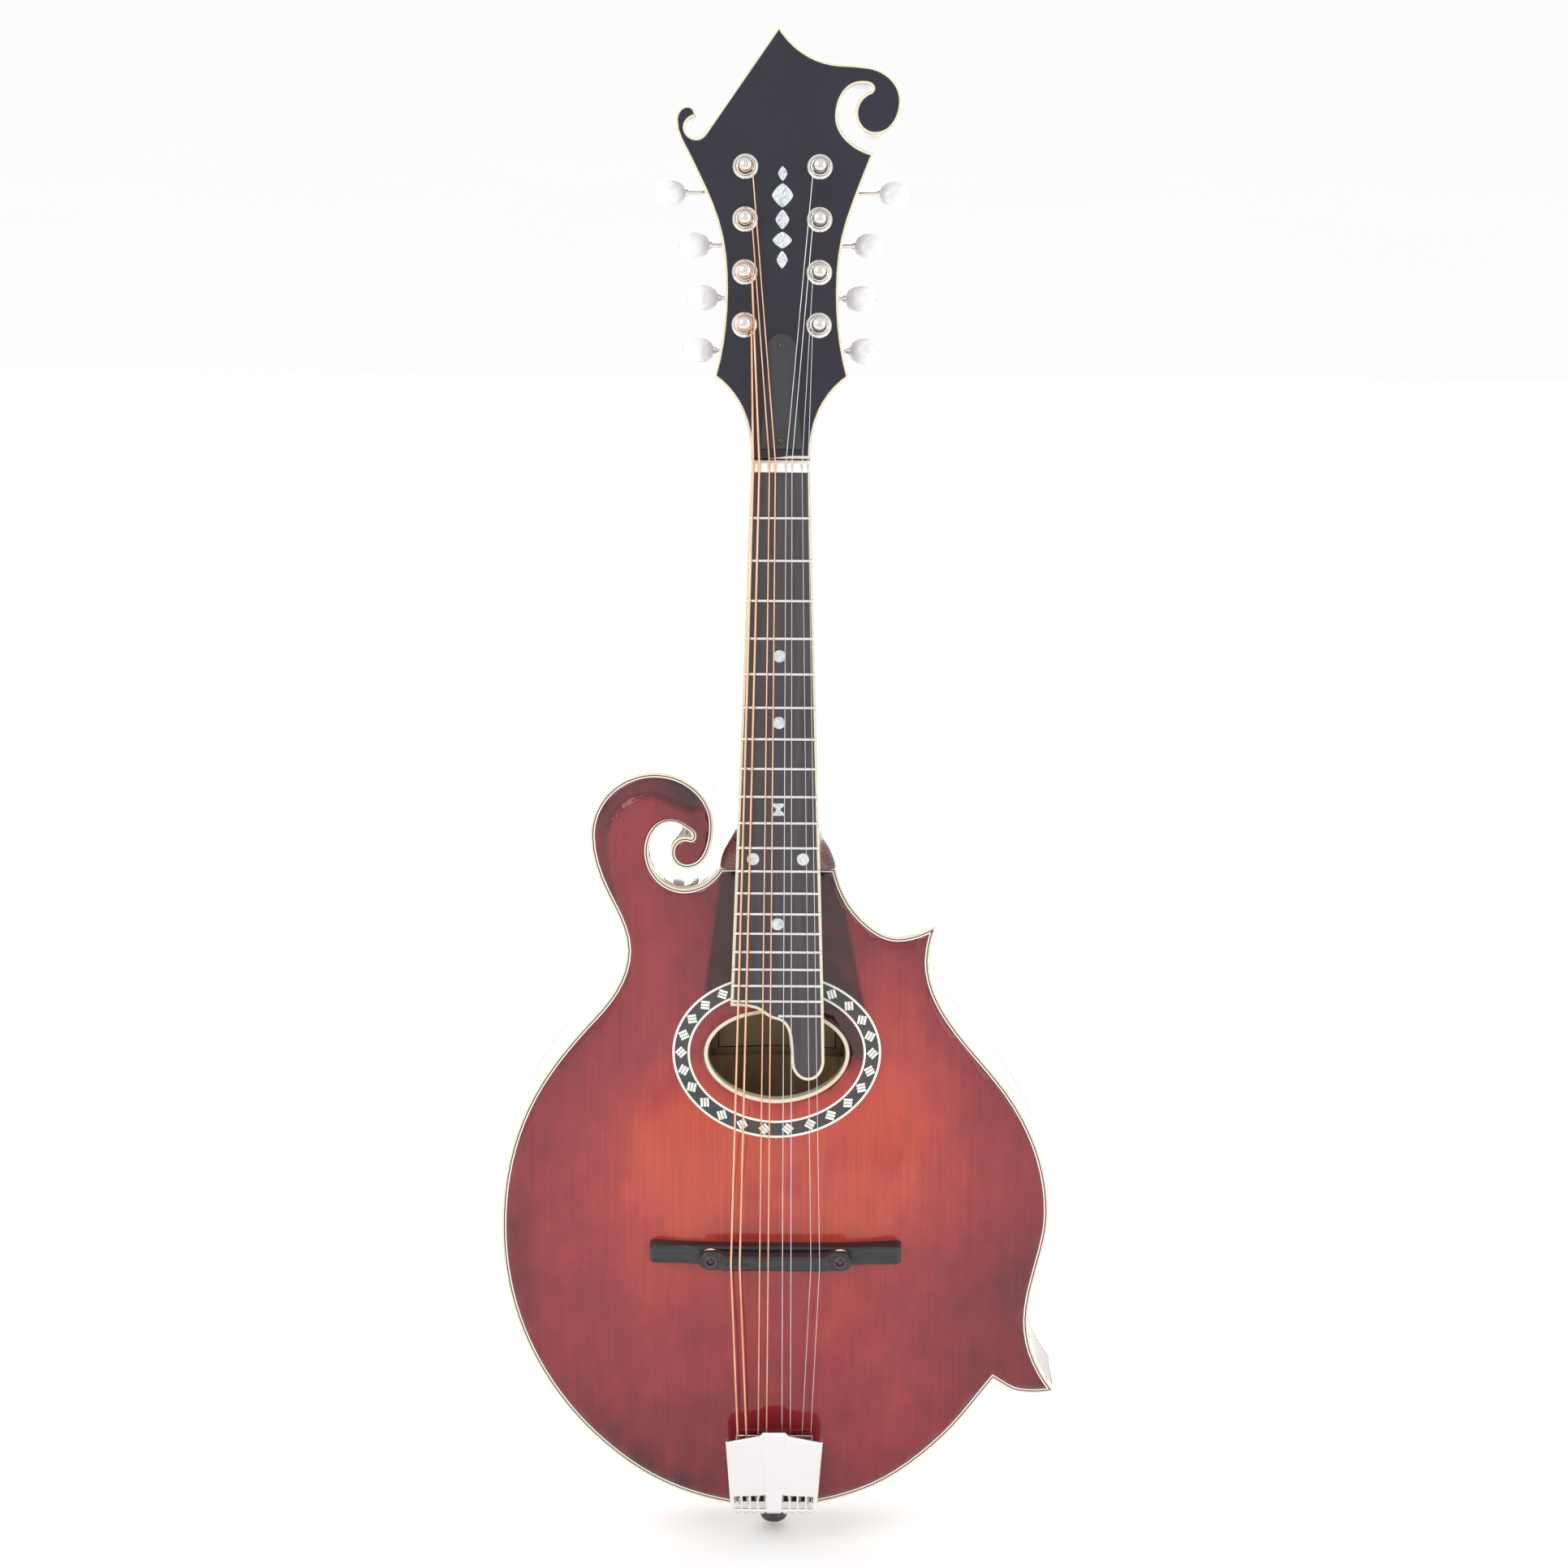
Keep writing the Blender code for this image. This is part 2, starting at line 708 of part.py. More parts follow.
def rib(name, start, end):
    """Length of rib between two knots, its ends pulled back to leave a seam."""
    outer = part_of(BODY, start, end)
    inner = part_of(RIB_INNER, start, end)
    for tip, beside in ((0, 1), (-1, -2)):
        shift = (outer[beside] - outer[tip]).normalized() * GAP
        outer[tip] += shift
        inner[tip] += shift
    return sheet(name, (strip_outline(outer, inner),), -RIB_Y, RIB_Y, MAPLE)


rib_bass = as_mesh(rib("rib_bass", 0, SCROLL_END))
rib("rib_cutaway", JOINT_TREBLE, UPPER_POINT)
rib("rib_waist", UPPER_POINT, LOWER_POINT)
rib_tail = as_mesh(rib("rib_tail", NOTCH, 0))


def clip(line, axis, value, sign):
    """Line from where one coordinate first passes a value, cut to that value."""
    first = next(k for k, p in enumerate(line) if sign * p[axis] > sign * value)
    a = line[first - 1]
    b = line[first]
    return [a.lerp(b, (value - a[axis]) / (b[axis] - a[axis]))] + line[first:]


def bass_lining(loop):
    """From the tail block round the bass side to the head block."""
    line = clip(part_of(loop, 0, 6.9), 0, -TAIL_BLOCK_HALF - GAP, -1)
    return clip(line[::-1], 1, BLOCK_LOW - GAP, -1)


def treble_lining(loop):
    """From the tail block to the notch."""
    return clip(part_of(loop, NOTCH + 0.4, 0)[::-1], 0, TAIL_BLOCK_HALF + GAP, 1)


for level, y0, y1 in (("top", -RIB_Y, -RIB_Y + LINING_H), ("back", RIB_Y - LINING_H, RIB_Y)):
    for bank, run in (("bass", bass_lining), ("treble", treble_lining)):
        outline = strip_outline(run(SEAM_LINE), run(LINING_INNER))
        sheet("lining_%s_%s" % (level, bank), (outline,), y0, y1, INNER)


def head_block():
    """Solid wood under the neck joint that also fills the scroll."""
    waist = part_of(SEAM_LINE, 5, 6)
    scroll = clip(waist + part_of(SEAM_LINE, 6, SCROLL_END)[1:], 1, BLOCK_LOW, 1)
    step = part_of(BODY, SCROLL_END, JOINT_BASS)
    step[0] += (step[1] - step[0]).normalized() * GAP
    step[-1] += Vector((0.0, -GAP))
    treble = part_of(SEAM_LINE, JOINT_TREBLE, JOINT_TREBLE + 1)
    corner = Vector((treble[0].x - 0.2, JOINT_Z - GAP))
    belly = [Vector((x, BLOCK_LOW - drop)) for x, drop in ((-30.0, 4.0), (-52.0, 0.0))]
    line = belly + scroll + step + [corner] + treble
    line.append(Vector((30.0, BLOCK_LOW - 4.0)))
    return sheet("head_block", (line,), -RIB_Y, RIB_Y, INNER)


def tail_block():
    """Block the end pin is pushed into, fitted to the ribs."""
    ribs = part_of(SEAM_LINE, NOTCH, 0) + part_of(SEAM_LINE, 0, 2)[1:]
    half = TAIL_BLOCK_HALF

    def seam(x):
        for a, b in zip(ribs, ribs[1:]):
            if a.x >= x >= b.x:
                return a.lerp(b, (x - a.x) / (b.x - a.x))
    line = [seam(half)] + [p for p in ribs if abs(p.x) < half] + [seam(-half)]
    line += [Vector((x, TAIL_Z + TAIL_BLOCK_T)) for x in (-half, half)]
    return as_mesh(sheet("tail_block", (line,), -RIB_Y, RIB_Y, INNER))


def lower_point_block():
    """Solid point whose tail side is left showing."""
    face = part_of(BODY, LOWER_POINT, NOTCH)
    ribs = part_of(SEAM_LINE, LOWER_POINT - 0.75, LOWER_POINT)
    face[0] += (ribs[-1] - face[0]).normalized() * RIB_T
    face[-1] += (face[-2] - face[-1]).normalized() * 2 * GAP
    line = ribs + face + [SEAM_LINE[body_corner(NOTCH)].copy()]
    return sheet("point_block_lower", (line,), -RIB_Y, RIB_Y, MAPLE)


head_block()
tail_wood = tail_block()
sheet("point_block_upper", (part_of(SEAM_LINE, UPPER_POINT - 0.7, UPPER_POINT + 1),),
      -RIB_Y, RIB_Y, INNER)
lower_point_block()


def tone_bar():
    """Cross brace glued under the top below the soundhole, thinned towards its ends."""
    rings = []
    steps = 8
    for k in range(steps + 1):
        x = BRACE_HALF * (2 * k / steps - 1)
        reach = 1.0 - 0.6 * abs(x / BRACE_HALF) ** 3
        edges = (BRACE_Z - BRACE_W / 2, BRACE_Z, BRACE_Z + BRACE_W / 2)
        near = max(top_y(x, z) for z in edges) + PLATE_T + 1.0
        far = near + BRACE_H * reach
        rings.append([(x, near, edges[0]), (x, near, edges[2]),
                      (x, far, BRACE_Z + BRACE_W / 4), (x, far, BRACE_Z - BRACE_W / 4)])
    return loft("tone_bar", rings, INNER)


tone_bar()

# ---------------------------------------------------------------- neck
BOARD = frame("board_frame", (0.0, FRONT + NUT_RISE, NUT_Z), NECK_PITCH)
HEAD_PLACE = (0.0, FRONT + NUT_RISE + HEAD_DROP, NUT_Z + NUT_L + HEAD_START)
HEADF = frame("head_frame", HEAD_PLACE, HEAD_TILT)
NECK_TOP = BOARD_T + GAP
HEEL_BACK = BACK - GAP
HEEL_SHAPE = ((0.3, 0.09), (1.1, 0.3), (4.2, 0.55), (8.7, 0.8), (13.2, 1.0))   # in, back


def neck_section(z):
    """Ring of points round the neck at one height, from the bass edge under the board."""
    near = board_y(z) + NECK_TOP
    down = (NUT_Z - z) / (NUT_Z - HEEL_TOP_Z)
    thick = min(NECK_T_NUT + (NECK_T_HEEL - NECK_T_NUT) * down, NECK_T_HEEL)
    drop = max(0.0, min(1.0, (HEEL_TOP_Z - z) / HEEL_CURVE))
    fall = 1.0 - math.sqrt(max(0.0, 1.0 - drop ** 2.2))
    back = near + thick + (HEEL_BACK - near - thick) * fall
    blend = ease((JOINT_Z + HEEL_FLARE - z) / HEEL_FLARE)
    half = half_board(NUT_Z - z)
    heel = [(half, 0.0)] + [(JOINT_HALF - dx, dy) for dx, dy in HEEL_SHAPE] + [(0.0, 1.0)]
    side = []
    for k, (heel_x, heel_y) in enumerate(heel):
        a = k / (len(heel) - 1) * math.pi / 2
        shaft = Vector((half * math.cos(a) ** 0.85, near + (back - near) * math.sin(a) ** 0.9))
        side.append(shaft.lerp(Vector((heel_x, near + (back - near) * heel_y)), blend))
    ring = [(-p.x, p.y, z) for p in side]
    ring += [(p.x, p.y, z) for p in side[-2::-1]]
    return ring


def neck_heights():
    """Heights of the neck's sections, from under the headstock to the joint."""
    shaft_top = NUT_Z - 10.0
    shaft_low = HEEL_TOP_Z + 14.0
    shaft = [shaft_top + (shaft_low - shaft_top) * k / 3 for k in range(4)]
    heel = [JOINT_Z + up for up in (HEEL_L, 31.0, HEEL_FLARE, 17.0, 12.0, 8.0, 4.0, GAP)]
    return [NUT_Z + NUT_L + 3.0] + shaft + heel


def tongue_wood():
    """Neck wood under the board where it runs over the top."""
    rings = []
    for below in (-8.0, 5.0, 23.0, 42.0, TONGUE_WOOD_L):
        z = JOINT_Z - below
        near = board_y(z) + NECK_TOP + 0.2
        far = FRONT - 2 * GAP if below < 0 else top_y(0.0, z) - 3 * GAP
        half = half_board(NUT_Z - z) - 2.0
        rings.append([(-half, near, z), (half, near, z), (half - 1.0, far, z), (1.0 - half, far, z)])
    return loft("tongue_wood", rings, None, home=CUTTERS)


def post_places(sides=(-1, 1)):
    for side in sides:
        for row in range(POST_ROWS):
            yield side, row, side * POST_X, POST_FIRST + POST_STEP * row


def post_drill(name, start, end, sides=(-1, 1)):
    """The tuner posts' holes along the headstock's normal, as one cutter."""
    centres = [(x, 0.0, u) for _, _, x, u in post_places(sides)]
    return rods(name, POST_HOLE_R, centres, (0.0, 1.0, 0.0), start, end, parent=HEADF)


WOOD_FACE = PLATE_HEAD_T + GAP
WOOD_BACK = WOOD_FACE + HEAD_WOOD_T
neck = loft("neck", [neck_section(z) for z in neck_heights()], MAPLE)
boolean(neck, as_mesh(sheet("head_wood", (HEAD,), WOOD_FACE, WOOD_BACK, None, HEADF, CUTTERS)), "UNION")
boolean(neck, tongue_wood(), "UNION")
ROD_LOW = JOINT_Z + ROD_STOP - NUT_Z
rod_slot = blocks("rod_slot", [((-ROD_W / 2 - FIT, NECK_TOP - 1.0, ROD_LOW - FIT),
                                (ROD_W / 2 + FIT, NECK_TOP + ROD_W + FIT, 20.0))],
                  None, BOARD, CUTTERS)
boolean(neck, rod_slot, "DIFFERENCE")
boolean(neck, post_drill("post_holes", -5.0, WOOD_BACK + 15.0), "DIFFERENCE")

# truss rod: a square bar in the slot, reached under the cover
blocks("truss_rod", [((-ROD_W / 2, NECK_TOP + FIT, ROD_LOW), (ROD_W / 2, NECK_TOP + ROD_W, -ROD_TOP))],
       STEEL, BOARD)


# ---------------------------------------------------------------- fingerboard
def board_outline(shrink):
    """Board edge from the nut down the bass side, round the tongue and up the treble side."""
    end_s = fret_s(FRETS)
    treble = half_board(end_s)
    full_s = fret_s(FRETS - 1)
    tongue = [Vector((treble - x, -full_s - s)) for x, s in BASS_END]
    tongue += [Vector((treble - x, -end_s - s)) for x, s in TONGUE]
    bass = Vector((-half_board(-tongue[0].y), tongue[0].y))
    line = inset([Vector((-NUT_HALF, 0.0)), bass, *tongue, Vector((NUT_HALF, 0.0))], -shrink)
    line[0].y = 0.0
    line[-1].y = 0.0
    return line


def fret_bars():
    """Fret wires as low bars with bevelled edges, sunk in the board."""
    corners = []
    for n in range(1, FRETS + 1):
        s = fret_s(n)
        half = half_board(s) - BOARD_BAND - GAP - 0.4
        left = -half if n < FRETS else half - LAST_FRET_L
        corners.append(((left, -FRET_H, -s - FRET_W / 2), (half, FRET_SUNK, -s + FRET_W / 2)))
    bars = blocks("fret_bars", corners, None, BOARD, CUTTERS)
    bevel = bars.modifiers.new("crown", "BEVEL")
    bevel.width = 0.4 * MM
    bevel.segments = 1
    return bars


board = as_mesh(sheet("fretboard", (board_outline(BOARD_BAND + GAP),), 0.0, BOARD_T, EBONY, BOARD))
boolean(board, fret_bars(), "UNION")
sheet("fretboard_binding", (strip_outline(board_outline(0.0), board_outline(BOARD_BAND)),),
      0.0, BOARD_T, IVORY, BOARD)
nut = blocks("nut", [((-NUT_HALF, -NUT_TOP, GAP), (NUT_HALF, BOARD_T - GAP, NUT_L - 0.2))], BONE, BOARD)
soft = nut.modifiers.new("soft edge", "BEVEL")
soft.width = 0.5 * MM
soft.segments = 1

# ---------------------------------------------------------------- headstock
plate = as_mesh(sheet("headplate", (inset(HEAD, HEAD_BAND + GAP),), 0.0, PLATE_HEAD_T, BLACK, HEADF))
boolean(plate, post_drill("headplate_holes", -3.0, PLATE_HEAD_T + 3.0), "DIFFERENCE")
sheet("head_binding", (HEAD, inset(HEAD, HEAD_BAND)), 0.0, PLATE_HEAD_T, IVORY, HEADF)
rod_cover = [Vector((-x, u)) for x, u in ROD_COVER] + [Vector((x, u)) for x, u in ROD_COVER[::-1]]
sheet("truss_cover", (rod_cover,), -GAP - COVER_T, -GAP, BLACK, HEADF)

# ---------------------------------------------------------------- tuners
PLATE_BACK = WOOD_BACK + GAP
PLATE_REAR = PLATE_BACK + TUNER_PLATE_T
WORM_Y = PLATE_REAR + WORM_R + FIT
LUG_NEAR = WORM_L / 2 + FIT


def tuner_plate(side, tag):
    """Base plate of one bank, with a pair of lugs for each worm shaft."""
    x0 = side * POST_X
    posts = [u for *_, u in post_places((side,))]
    worms = [u - WORM_OFFSET for u in posts]
    low = (x0 - TUNER_PLATE_W / 2, PLATE_BACK, worms[0] - LUG_HALF - 4.0)
    high = (x0 + TUNER_PLATE_W / 2, PLATE_REAR, posts[-1] + TUNER_PLATE_END)
    plate = blocks("tuner_plate_" + tag, [(low, high)], NICKEL, HEADF)
    lugs = []
    for u in worms:
        for x in (x0 - LUG_NEAR - LUG_T, x0 + LUG_NEAR):
            lugs.append(((x, PLATE_BACK + 0.4, u - LUG_HALF),
                         (x + LUG_T, WORM_Y + LUG_HALF - 0.2, u + LUG_HALF)))
    boolean(plate, blocks("lugs_" + tag, lugs, None, HEADF, CUTTERS), "UNION")
    drill = post_drill("plate_holes_" + tag, PLATE_BACK - 1.0, PLATE_REAR + 1.0, (side,))
    boolean(plate, drill, "DIFFERENCE")
    shafts = rods("shaft_holes_" + tag, SHAFT_R + FIT, [(x0, WORM_Y, u) for u in worms],
                  (1.0, 0.0, 0.0), -TUNER_PLATE_W, TUNER_PLATE_W, sides=8, parent=HEADF)
    boolean(plate, shafts, "DIFFERENCE")


def tuner_post(tag, x, u):
    """String post with its gear behind the base plate, turning about its own length."""
    gear_top = -WORM_Y + GEAR_T / 2
    gear_low = gear_top - GEAR_T
    profile = ((1.8, POST_OUT), (POST_R, POST_OUT - 0.8), (POST_R, gear_top), (GEAR_R, gear_top),
               (GEAR_R, gear_low), (1.6, gear_low), (1.4, gear_low - 1.4))
    post = turned_piece("tuner_post_" + tag, profile, NICKEL, POST_SIDES, HEADF)
    post.rotation_euler = FACING
    post.location = Vector((x, 0.0, u)) * MM


def tuner_button(tag, side, row, x, u):
    """Knob on its shaft with the worm between the lugs, turning about the shaft."""
    shaft_end = LUG_NEAR + LUG_T + 0.8
    knob_mid = BUTTON_X[row] - POST_X
    knob_end = knob_mid - BUTTON_L / 2
    shaft = ((SHAFT_R, knob_end + 3.0), (SHAFT_R, WORM_L / 2), (WORM_R, WORM_L / 2),
             (WORM_R, -WORM_L / 2), (SHAFT_R, -WORM_L / 2), (SHAFT_R, 0.3 - shaft_end),
             (0.8 * SHAFT_R, -shaft_end))
    button = turned_piece("tuner_button_" + tag, shaft, PEARL, BUTTON_SIDES, HEADF)
    rings = 6
    knob = [(1.0, BUTTON_L / 2 + 0.2)]
    for k in range(1, rings):
        a = math.pi * k / rings
        knob.append((BUTTON_W / 2 * math.sin(a) ** 0.8, BUTTON_L / 2 * math.cos(a)))
    knob.append((SHAFT_R + 0.3, -BUTTON_L / 2))
    knob_rows = [(r, h + knob_mid) for r, h in knob]
    bulb = turned_piece("knob_" + tag, knob_rows, PEARL, BUTTON_SIDES, HEADF, CUTTERS)
    bulb.scale = (1.0, BUTTON_T / BUTTON_W, 1.0)
    for piece in (button, bulb):
        piece.rotation_euler = (0.0, side * math.pi / 2, 0.0)
        piece.location = Vector((x, WORM_Y, u - WORM_OFFSET)) * MM
    boolean(button, bulb, "UNION")


for side, bank in ((-1, "bass"), (1, "treble")):
    tuner_plate(side, bank)
    for _, row, x, u in post_places((side,)):
        tag = "%s_%d" % (bank, row + 1)
        tuner_post(tag, x, u)
        tuner_button(tag, side, row, x, u)

# ---------------------------------------------------------------- bridge
BASE_TOP = FRONT - TOP_ARCH - 0.45 - BASE_T
WHEEL_Y = BASE_TOP - WHEEL_UP
SADDLE_LOW = WHEEL_Y - WHEEL_T - GAP
SADDLE_SHOULDER = SADDLE_LOW - SADDLE_END_T
STRING_Y = FRONT - TOP_ARCH - BRIDGE_H
SADDLE_TOP = STRING_Y + GAP + 0.1
WHEEL_SPOTS = ((-WHEEL_X, "bass"), (WHEEL_X, "treble"))


def stud_rods(name, radius, start, end):
    """Cylinders along Y at both wheels, from the back to the front."""
    centres = [(x, 0.0, BRIDGE_Z) for x, _ in WHEEL_SPOTS]
    return rods(name, radius, centres, (0.0, 1.0, 0.0), end, start, sides=12)


def bridge_base():
    """Ebony foot fitted to the arch, thick in the middle, with a stud at each wheel."""
    rings = []
    steps = 16
    for k in range(steps + 1):
        x = BASE_HALF * (2 * k / steps - 1)
        half_w = BASE_W / 2 * (0.62 + 0.38 * ease((BASE_HALF - abs(x)) / 16.0))
        edges = (BRIDGE_Z - BASE_W / 2, BRIDGE_Z, BRIDGE_Z + BASE_W / 2)
        under = min(top_y(x, z) for z in edges) - 0.5
        end = ease((abs(x) - SADDLE_HALF + 1.0) / 9.0)
        over = BASE_TOP * (1.0 - end) + min(under - 3.4, BASE_TOP + 1.2 * end) * end
        rings.append([(x, under, BRIDGE_Z - half_w), (x, under, BRIDGE_Z + half_w),
                      (x, over, BRIDGE_Z + half_w * 0.8), (x, over, BRIDGE_Z - half_w * 0.8)])
    base = loft("bridge_base", rings, EBONY)
    boolean(base, stud_rods("studs", STUD_R, BASE_TOP + 2.0, SADDLE_SHOULDER + STUD_SHORT), "UNION")


def bridge_saddle():
    """Saddle with a raised crown for the strings and low ends over the wheels."""
    rings = []
    bevel = 1.5
    for dz, slope in ((-SADDLE_W / 2, bevel), (-0.6, 0.0), (0.6, 0.0), (SADDLE_W / 2, 1.0)):
        top = SADDLE_TOP + slope
        half_line = ((SADDLE_HALF, SADDLE_LOW), (SADDLE_HALF, SADDLE_SHOULDER + bevel),
                     (SADDLE_HALF - bevel, SADDLE_SHOULDER),
                     (SADDLE_CROWN + bevel, SADDLE_SHOULDER),
                     (SADDLE_CROWN, top + 1.0), (SADDLE_CROWN - 1.0, top))
        rings.append([(-x, y, dz) for x, y in half_line] + [(x, y, dz) for x, y in half_line[::-1]])
    saddle = loft("bridge_saddle", rings, EBONY)
    saddle.location = (0.0, 0.0, BRIDGE_Z * MM)
    holes = stud_rods("stud_holes", STUD_R + FIT, SADDLE_LOW + 3.0, SADDLE_TOP - 6.0)
    boolean(saddle, holes, "DIFFERENCE")


def bridge_wheel(x, tag):
    """Height wheel round a stud."""
    hole = STUD_R + FIT
    profile = ((hole, WHEEL_T), (WHEEL_R, WHEEL_T), (WHEEL_R, 0.0), (hole, 0.0))
    wheel = turned_piece("bridge_wheel_" + tag, profile, NICKEL, 16, ring=True)
    wheel.rotation_euler = FACING
    wheel.location = Vector((x, WHEEL_Y, BRIDGE_Z)) * MM


bridge_base()
bridge_saddle()
for x, tag in WHEEL_SPOTS:
    bridge_wheel(x, tag)

# ---------------------------------------------------------------- tailpiece and end pin
TAIL_FACE = TAIL_Z - GAP
FLANGE_Z = 28.0
FLANGE_Y = FRONT - FLANGE_UP
FLANGE_TOP_Y = FLANGE_Y - 3.4


def tailpiece_base():
    """Sheet that lies over the plate edge and turns down the tail."""
    low = BACK - BASE_SHEET_BACK
    outer = ((FLANGE_TOP_Y, BASE_SHEET_Z), (FLANGE_Y, FLANGE_Z), (FRONT - 2.2, TAIL_FACE + 0.6),
             (FRONT - 0.8, TAIL_FACE - SHEET), (low, TAIL_FACE - SHEET))
    inner = ((low, TAIL_FACE), (FRONT - 0.4, TAIL_FACE), (FRONT - 1.0, TAIL_FACE + 0.9),
             (FLANGE_Y + SHEET, FLANGE_Z), (FLANGE_TOP_Y + SHEET, BASE_SHEET_Z))
    line = [Vector(p) for p in outer + inner]
    base = sheet("tailpiece_base", (line,), -BASE_SHEET_HALF, BASE_SHEET_HALF, NICKEL)
    base.rotation_euler = SIDEWAYS
    base.location = (0.0, 0.0, 0.0)
    return as_mesh(base)


def tail_cover():
    """Sliding cover: a thin domed lid with side walls, open below and towards the bridge."""
    across = 7
    rows = 3
    bm = bmesh.new()
    bmesh.ops.create_grid(bm, x_segments=across, y_segments=rows, size=1.0)
    for v in bm.verts:
        column = round((v.co.x + 1.0) / 2.0 * across)
        up = (v.co.y + 1.0) / 2.0
        half = COVER_LOW_HALF + (COVER_TOP_HALF - COVER_LOW_HALF) * up
        height = COVER_LOW_UP + (COVER_TOP_UP - COVER_LOW_UP) * up
        wall = 4.0 + 2.0 * up
        line = ((half, wall), (half - 0.6, 1.6), (half - 3.0, 0.5), (COVER_FLAT, 0.0))
        x, sunk = line[min(column, across - column)]
        slope = COVER_DROP * (x - COVER_FLAT) / (half - COVER_FLAT) * up
        z = COVER_LOW_Z + (COVER_TOP_Z - COVER_LOW_Z) * up - slope
        side = 1 if column > across / 2 else -1
        v.co = Vector((side * x, FRONT - height + sunk, z)) * MM
    if sum(f.normal.y for f in bm.faces) > 0:
        bmesh.ops.reverse_faces(bm, faces=bm.faces)
    mesh = bpy.data.meshes.new("tailpiece_cover")
    bm.to_mesh(mesh)
    bm.free()
    cover = link("tailpiece_cover", mesh, NICKEL)
    solidify(cover, SHEET, even=True)


def pin_bore(name, start, end):
    """Clearance for the end pin's shank, along the centre line."""
    return rods(name, PIN_SHANK_R + FIT, [(0.0, 0.0, 0.0)], (0.0, 0.0, 1.0), start, end, sides=16)


boolean(tailpiece_base(), pin_bore("pin_bore_sheet", -4.0, BASE_SHEET_Z), "DIFFERENCE")
boolean(tail_wood, pin_bore("pin_bore_block", 5.0, TAIL_Z + PIN_L + 0.5), "DIFFERENCE")
rib_bore = pin_bore("pin_bore_ribs", 5.0, TAIL_Z + RIB_T + 4.0)
boolean(rib_bass, rib_bore, "DIFFERENCE")
boolean(rib_tail, rib_bore, "DIFFERENCE")
tail_cover()

PIN_SHOULDER = TAIL_FACE - SHEET - GAP
WAIST_R = 0.7 * PIN_R
turned_piece("end_pin",
             ((0.9 * PIN_SHANK_R, TAIL_Z + PIN_L), (PIN_SHANK_R, PIN_SHOULDER),
              (PIN_R, PIN_SHOULDER), (PIN_R, PIN_SHOULDER - 3.0), (WAIST_R, 8.0), (WAIST_R, 6.0),
              (PIN_R, 3.2), (PIN_R - 0.7, 1.2), (PIN_R - 2.6, 0.0)),
             BLACK, PIN_SIDES)

# ---------------------------------------------------------------- strings
bpy.context.view_layer.update()
OVER_NUT = -NUT_TOP - GAP
HOOK_Y = FLANGE_Y - 1.9
END_DROP = 0.4 * POST_R   # the shortest strings leave their posts lower


def string(name, radius, nut_x, bridge_x, tail_x, row):
    """Wire from its post over the nut and the saddle to its hook, clear of all of them."""
    side = math.copysign(1, nut_x)
    height = STRING_UP - (END_DROP if row == 0 else 0.0)
    post = (side * (POST_X - POST_R - radius - GAP), -height, POST_FIRST + POST_STEP * row)
    nut_y = OVER_NUT - radius
    route = (
        HEADF.matrix_world @ (Vector(post) * MM),
        BOARD.matrix_world @ (Vector((nut_x, nut_y, NUT_L + 0.2)) * MM),
        BOARD.matrix_world @ (Vector((nut_x, nut_y, 0.0)) * MM),
        Vector((bridge_x, STRING_Y - radius, BRIDGE_Z)) * MM,
        Vector((tail_x, HOOK_Y - radius, HOOK_Z)) * MM,
    )
    curve = bpy.data.curves.new(name, "CURVE")
    curve.dimensions = "3D"
    curve.bevel_depth = radius * MM
    curve.bevel_resolution = 1
    curve.use_fill_caps = True
    spline = curve.splines.new("POLY")
    spline.points.add(len(route) - 1)
    for point, place in zip(spline.points, route):
        point.co = (*place, 1.0)
    link(name, curve, BRONZE if side < 0 else STEEL)


for name, *sizes in STRINGS:
    string("string_" + name, *sizes)
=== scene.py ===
"""Looks of the oval-hole scroll mandolin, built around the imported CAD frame.

World frame as in the CAD: +Z up the centre line, -Y the playing side, +X the treble side,
origin at the end pin's outer face. Sizes are in millimetres and scaled by MM when a mesh is made.
"""
from math import atan2, ceil, copysign, cos, degrees, exp, pi, radians, sin, sqrt, tan, tau

import bmesh
import bpy
import numpy as np
from mathutils import Matrix, Vector
from mathutils.geometry import delaunay_2d_cdt


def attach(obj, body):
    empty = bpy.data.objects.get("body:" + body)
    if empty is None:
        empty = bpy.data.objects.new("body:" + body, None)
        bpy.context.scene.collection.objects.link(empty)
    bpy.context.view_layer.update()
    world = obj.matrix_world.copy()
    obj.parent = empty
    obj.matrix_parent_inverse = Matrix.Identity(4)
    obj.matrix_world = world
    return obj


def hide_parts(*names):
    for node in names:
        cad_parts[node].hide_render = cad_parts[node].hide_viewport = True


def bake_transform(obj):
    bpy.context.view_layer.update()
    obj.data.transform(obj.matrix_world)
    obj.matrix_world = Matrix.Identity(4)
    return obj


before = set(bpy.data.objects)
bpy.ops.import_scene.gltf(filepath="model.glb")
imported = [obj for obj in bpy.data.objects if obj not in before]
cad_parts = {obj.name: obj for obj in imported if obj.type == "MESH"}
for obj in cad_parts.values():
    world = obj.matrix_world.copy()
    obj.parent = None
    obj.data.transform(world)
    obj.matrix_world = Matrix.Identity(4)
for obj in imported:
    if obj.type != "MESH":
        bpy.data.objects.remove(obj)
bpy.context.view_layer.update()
MM = 0.001

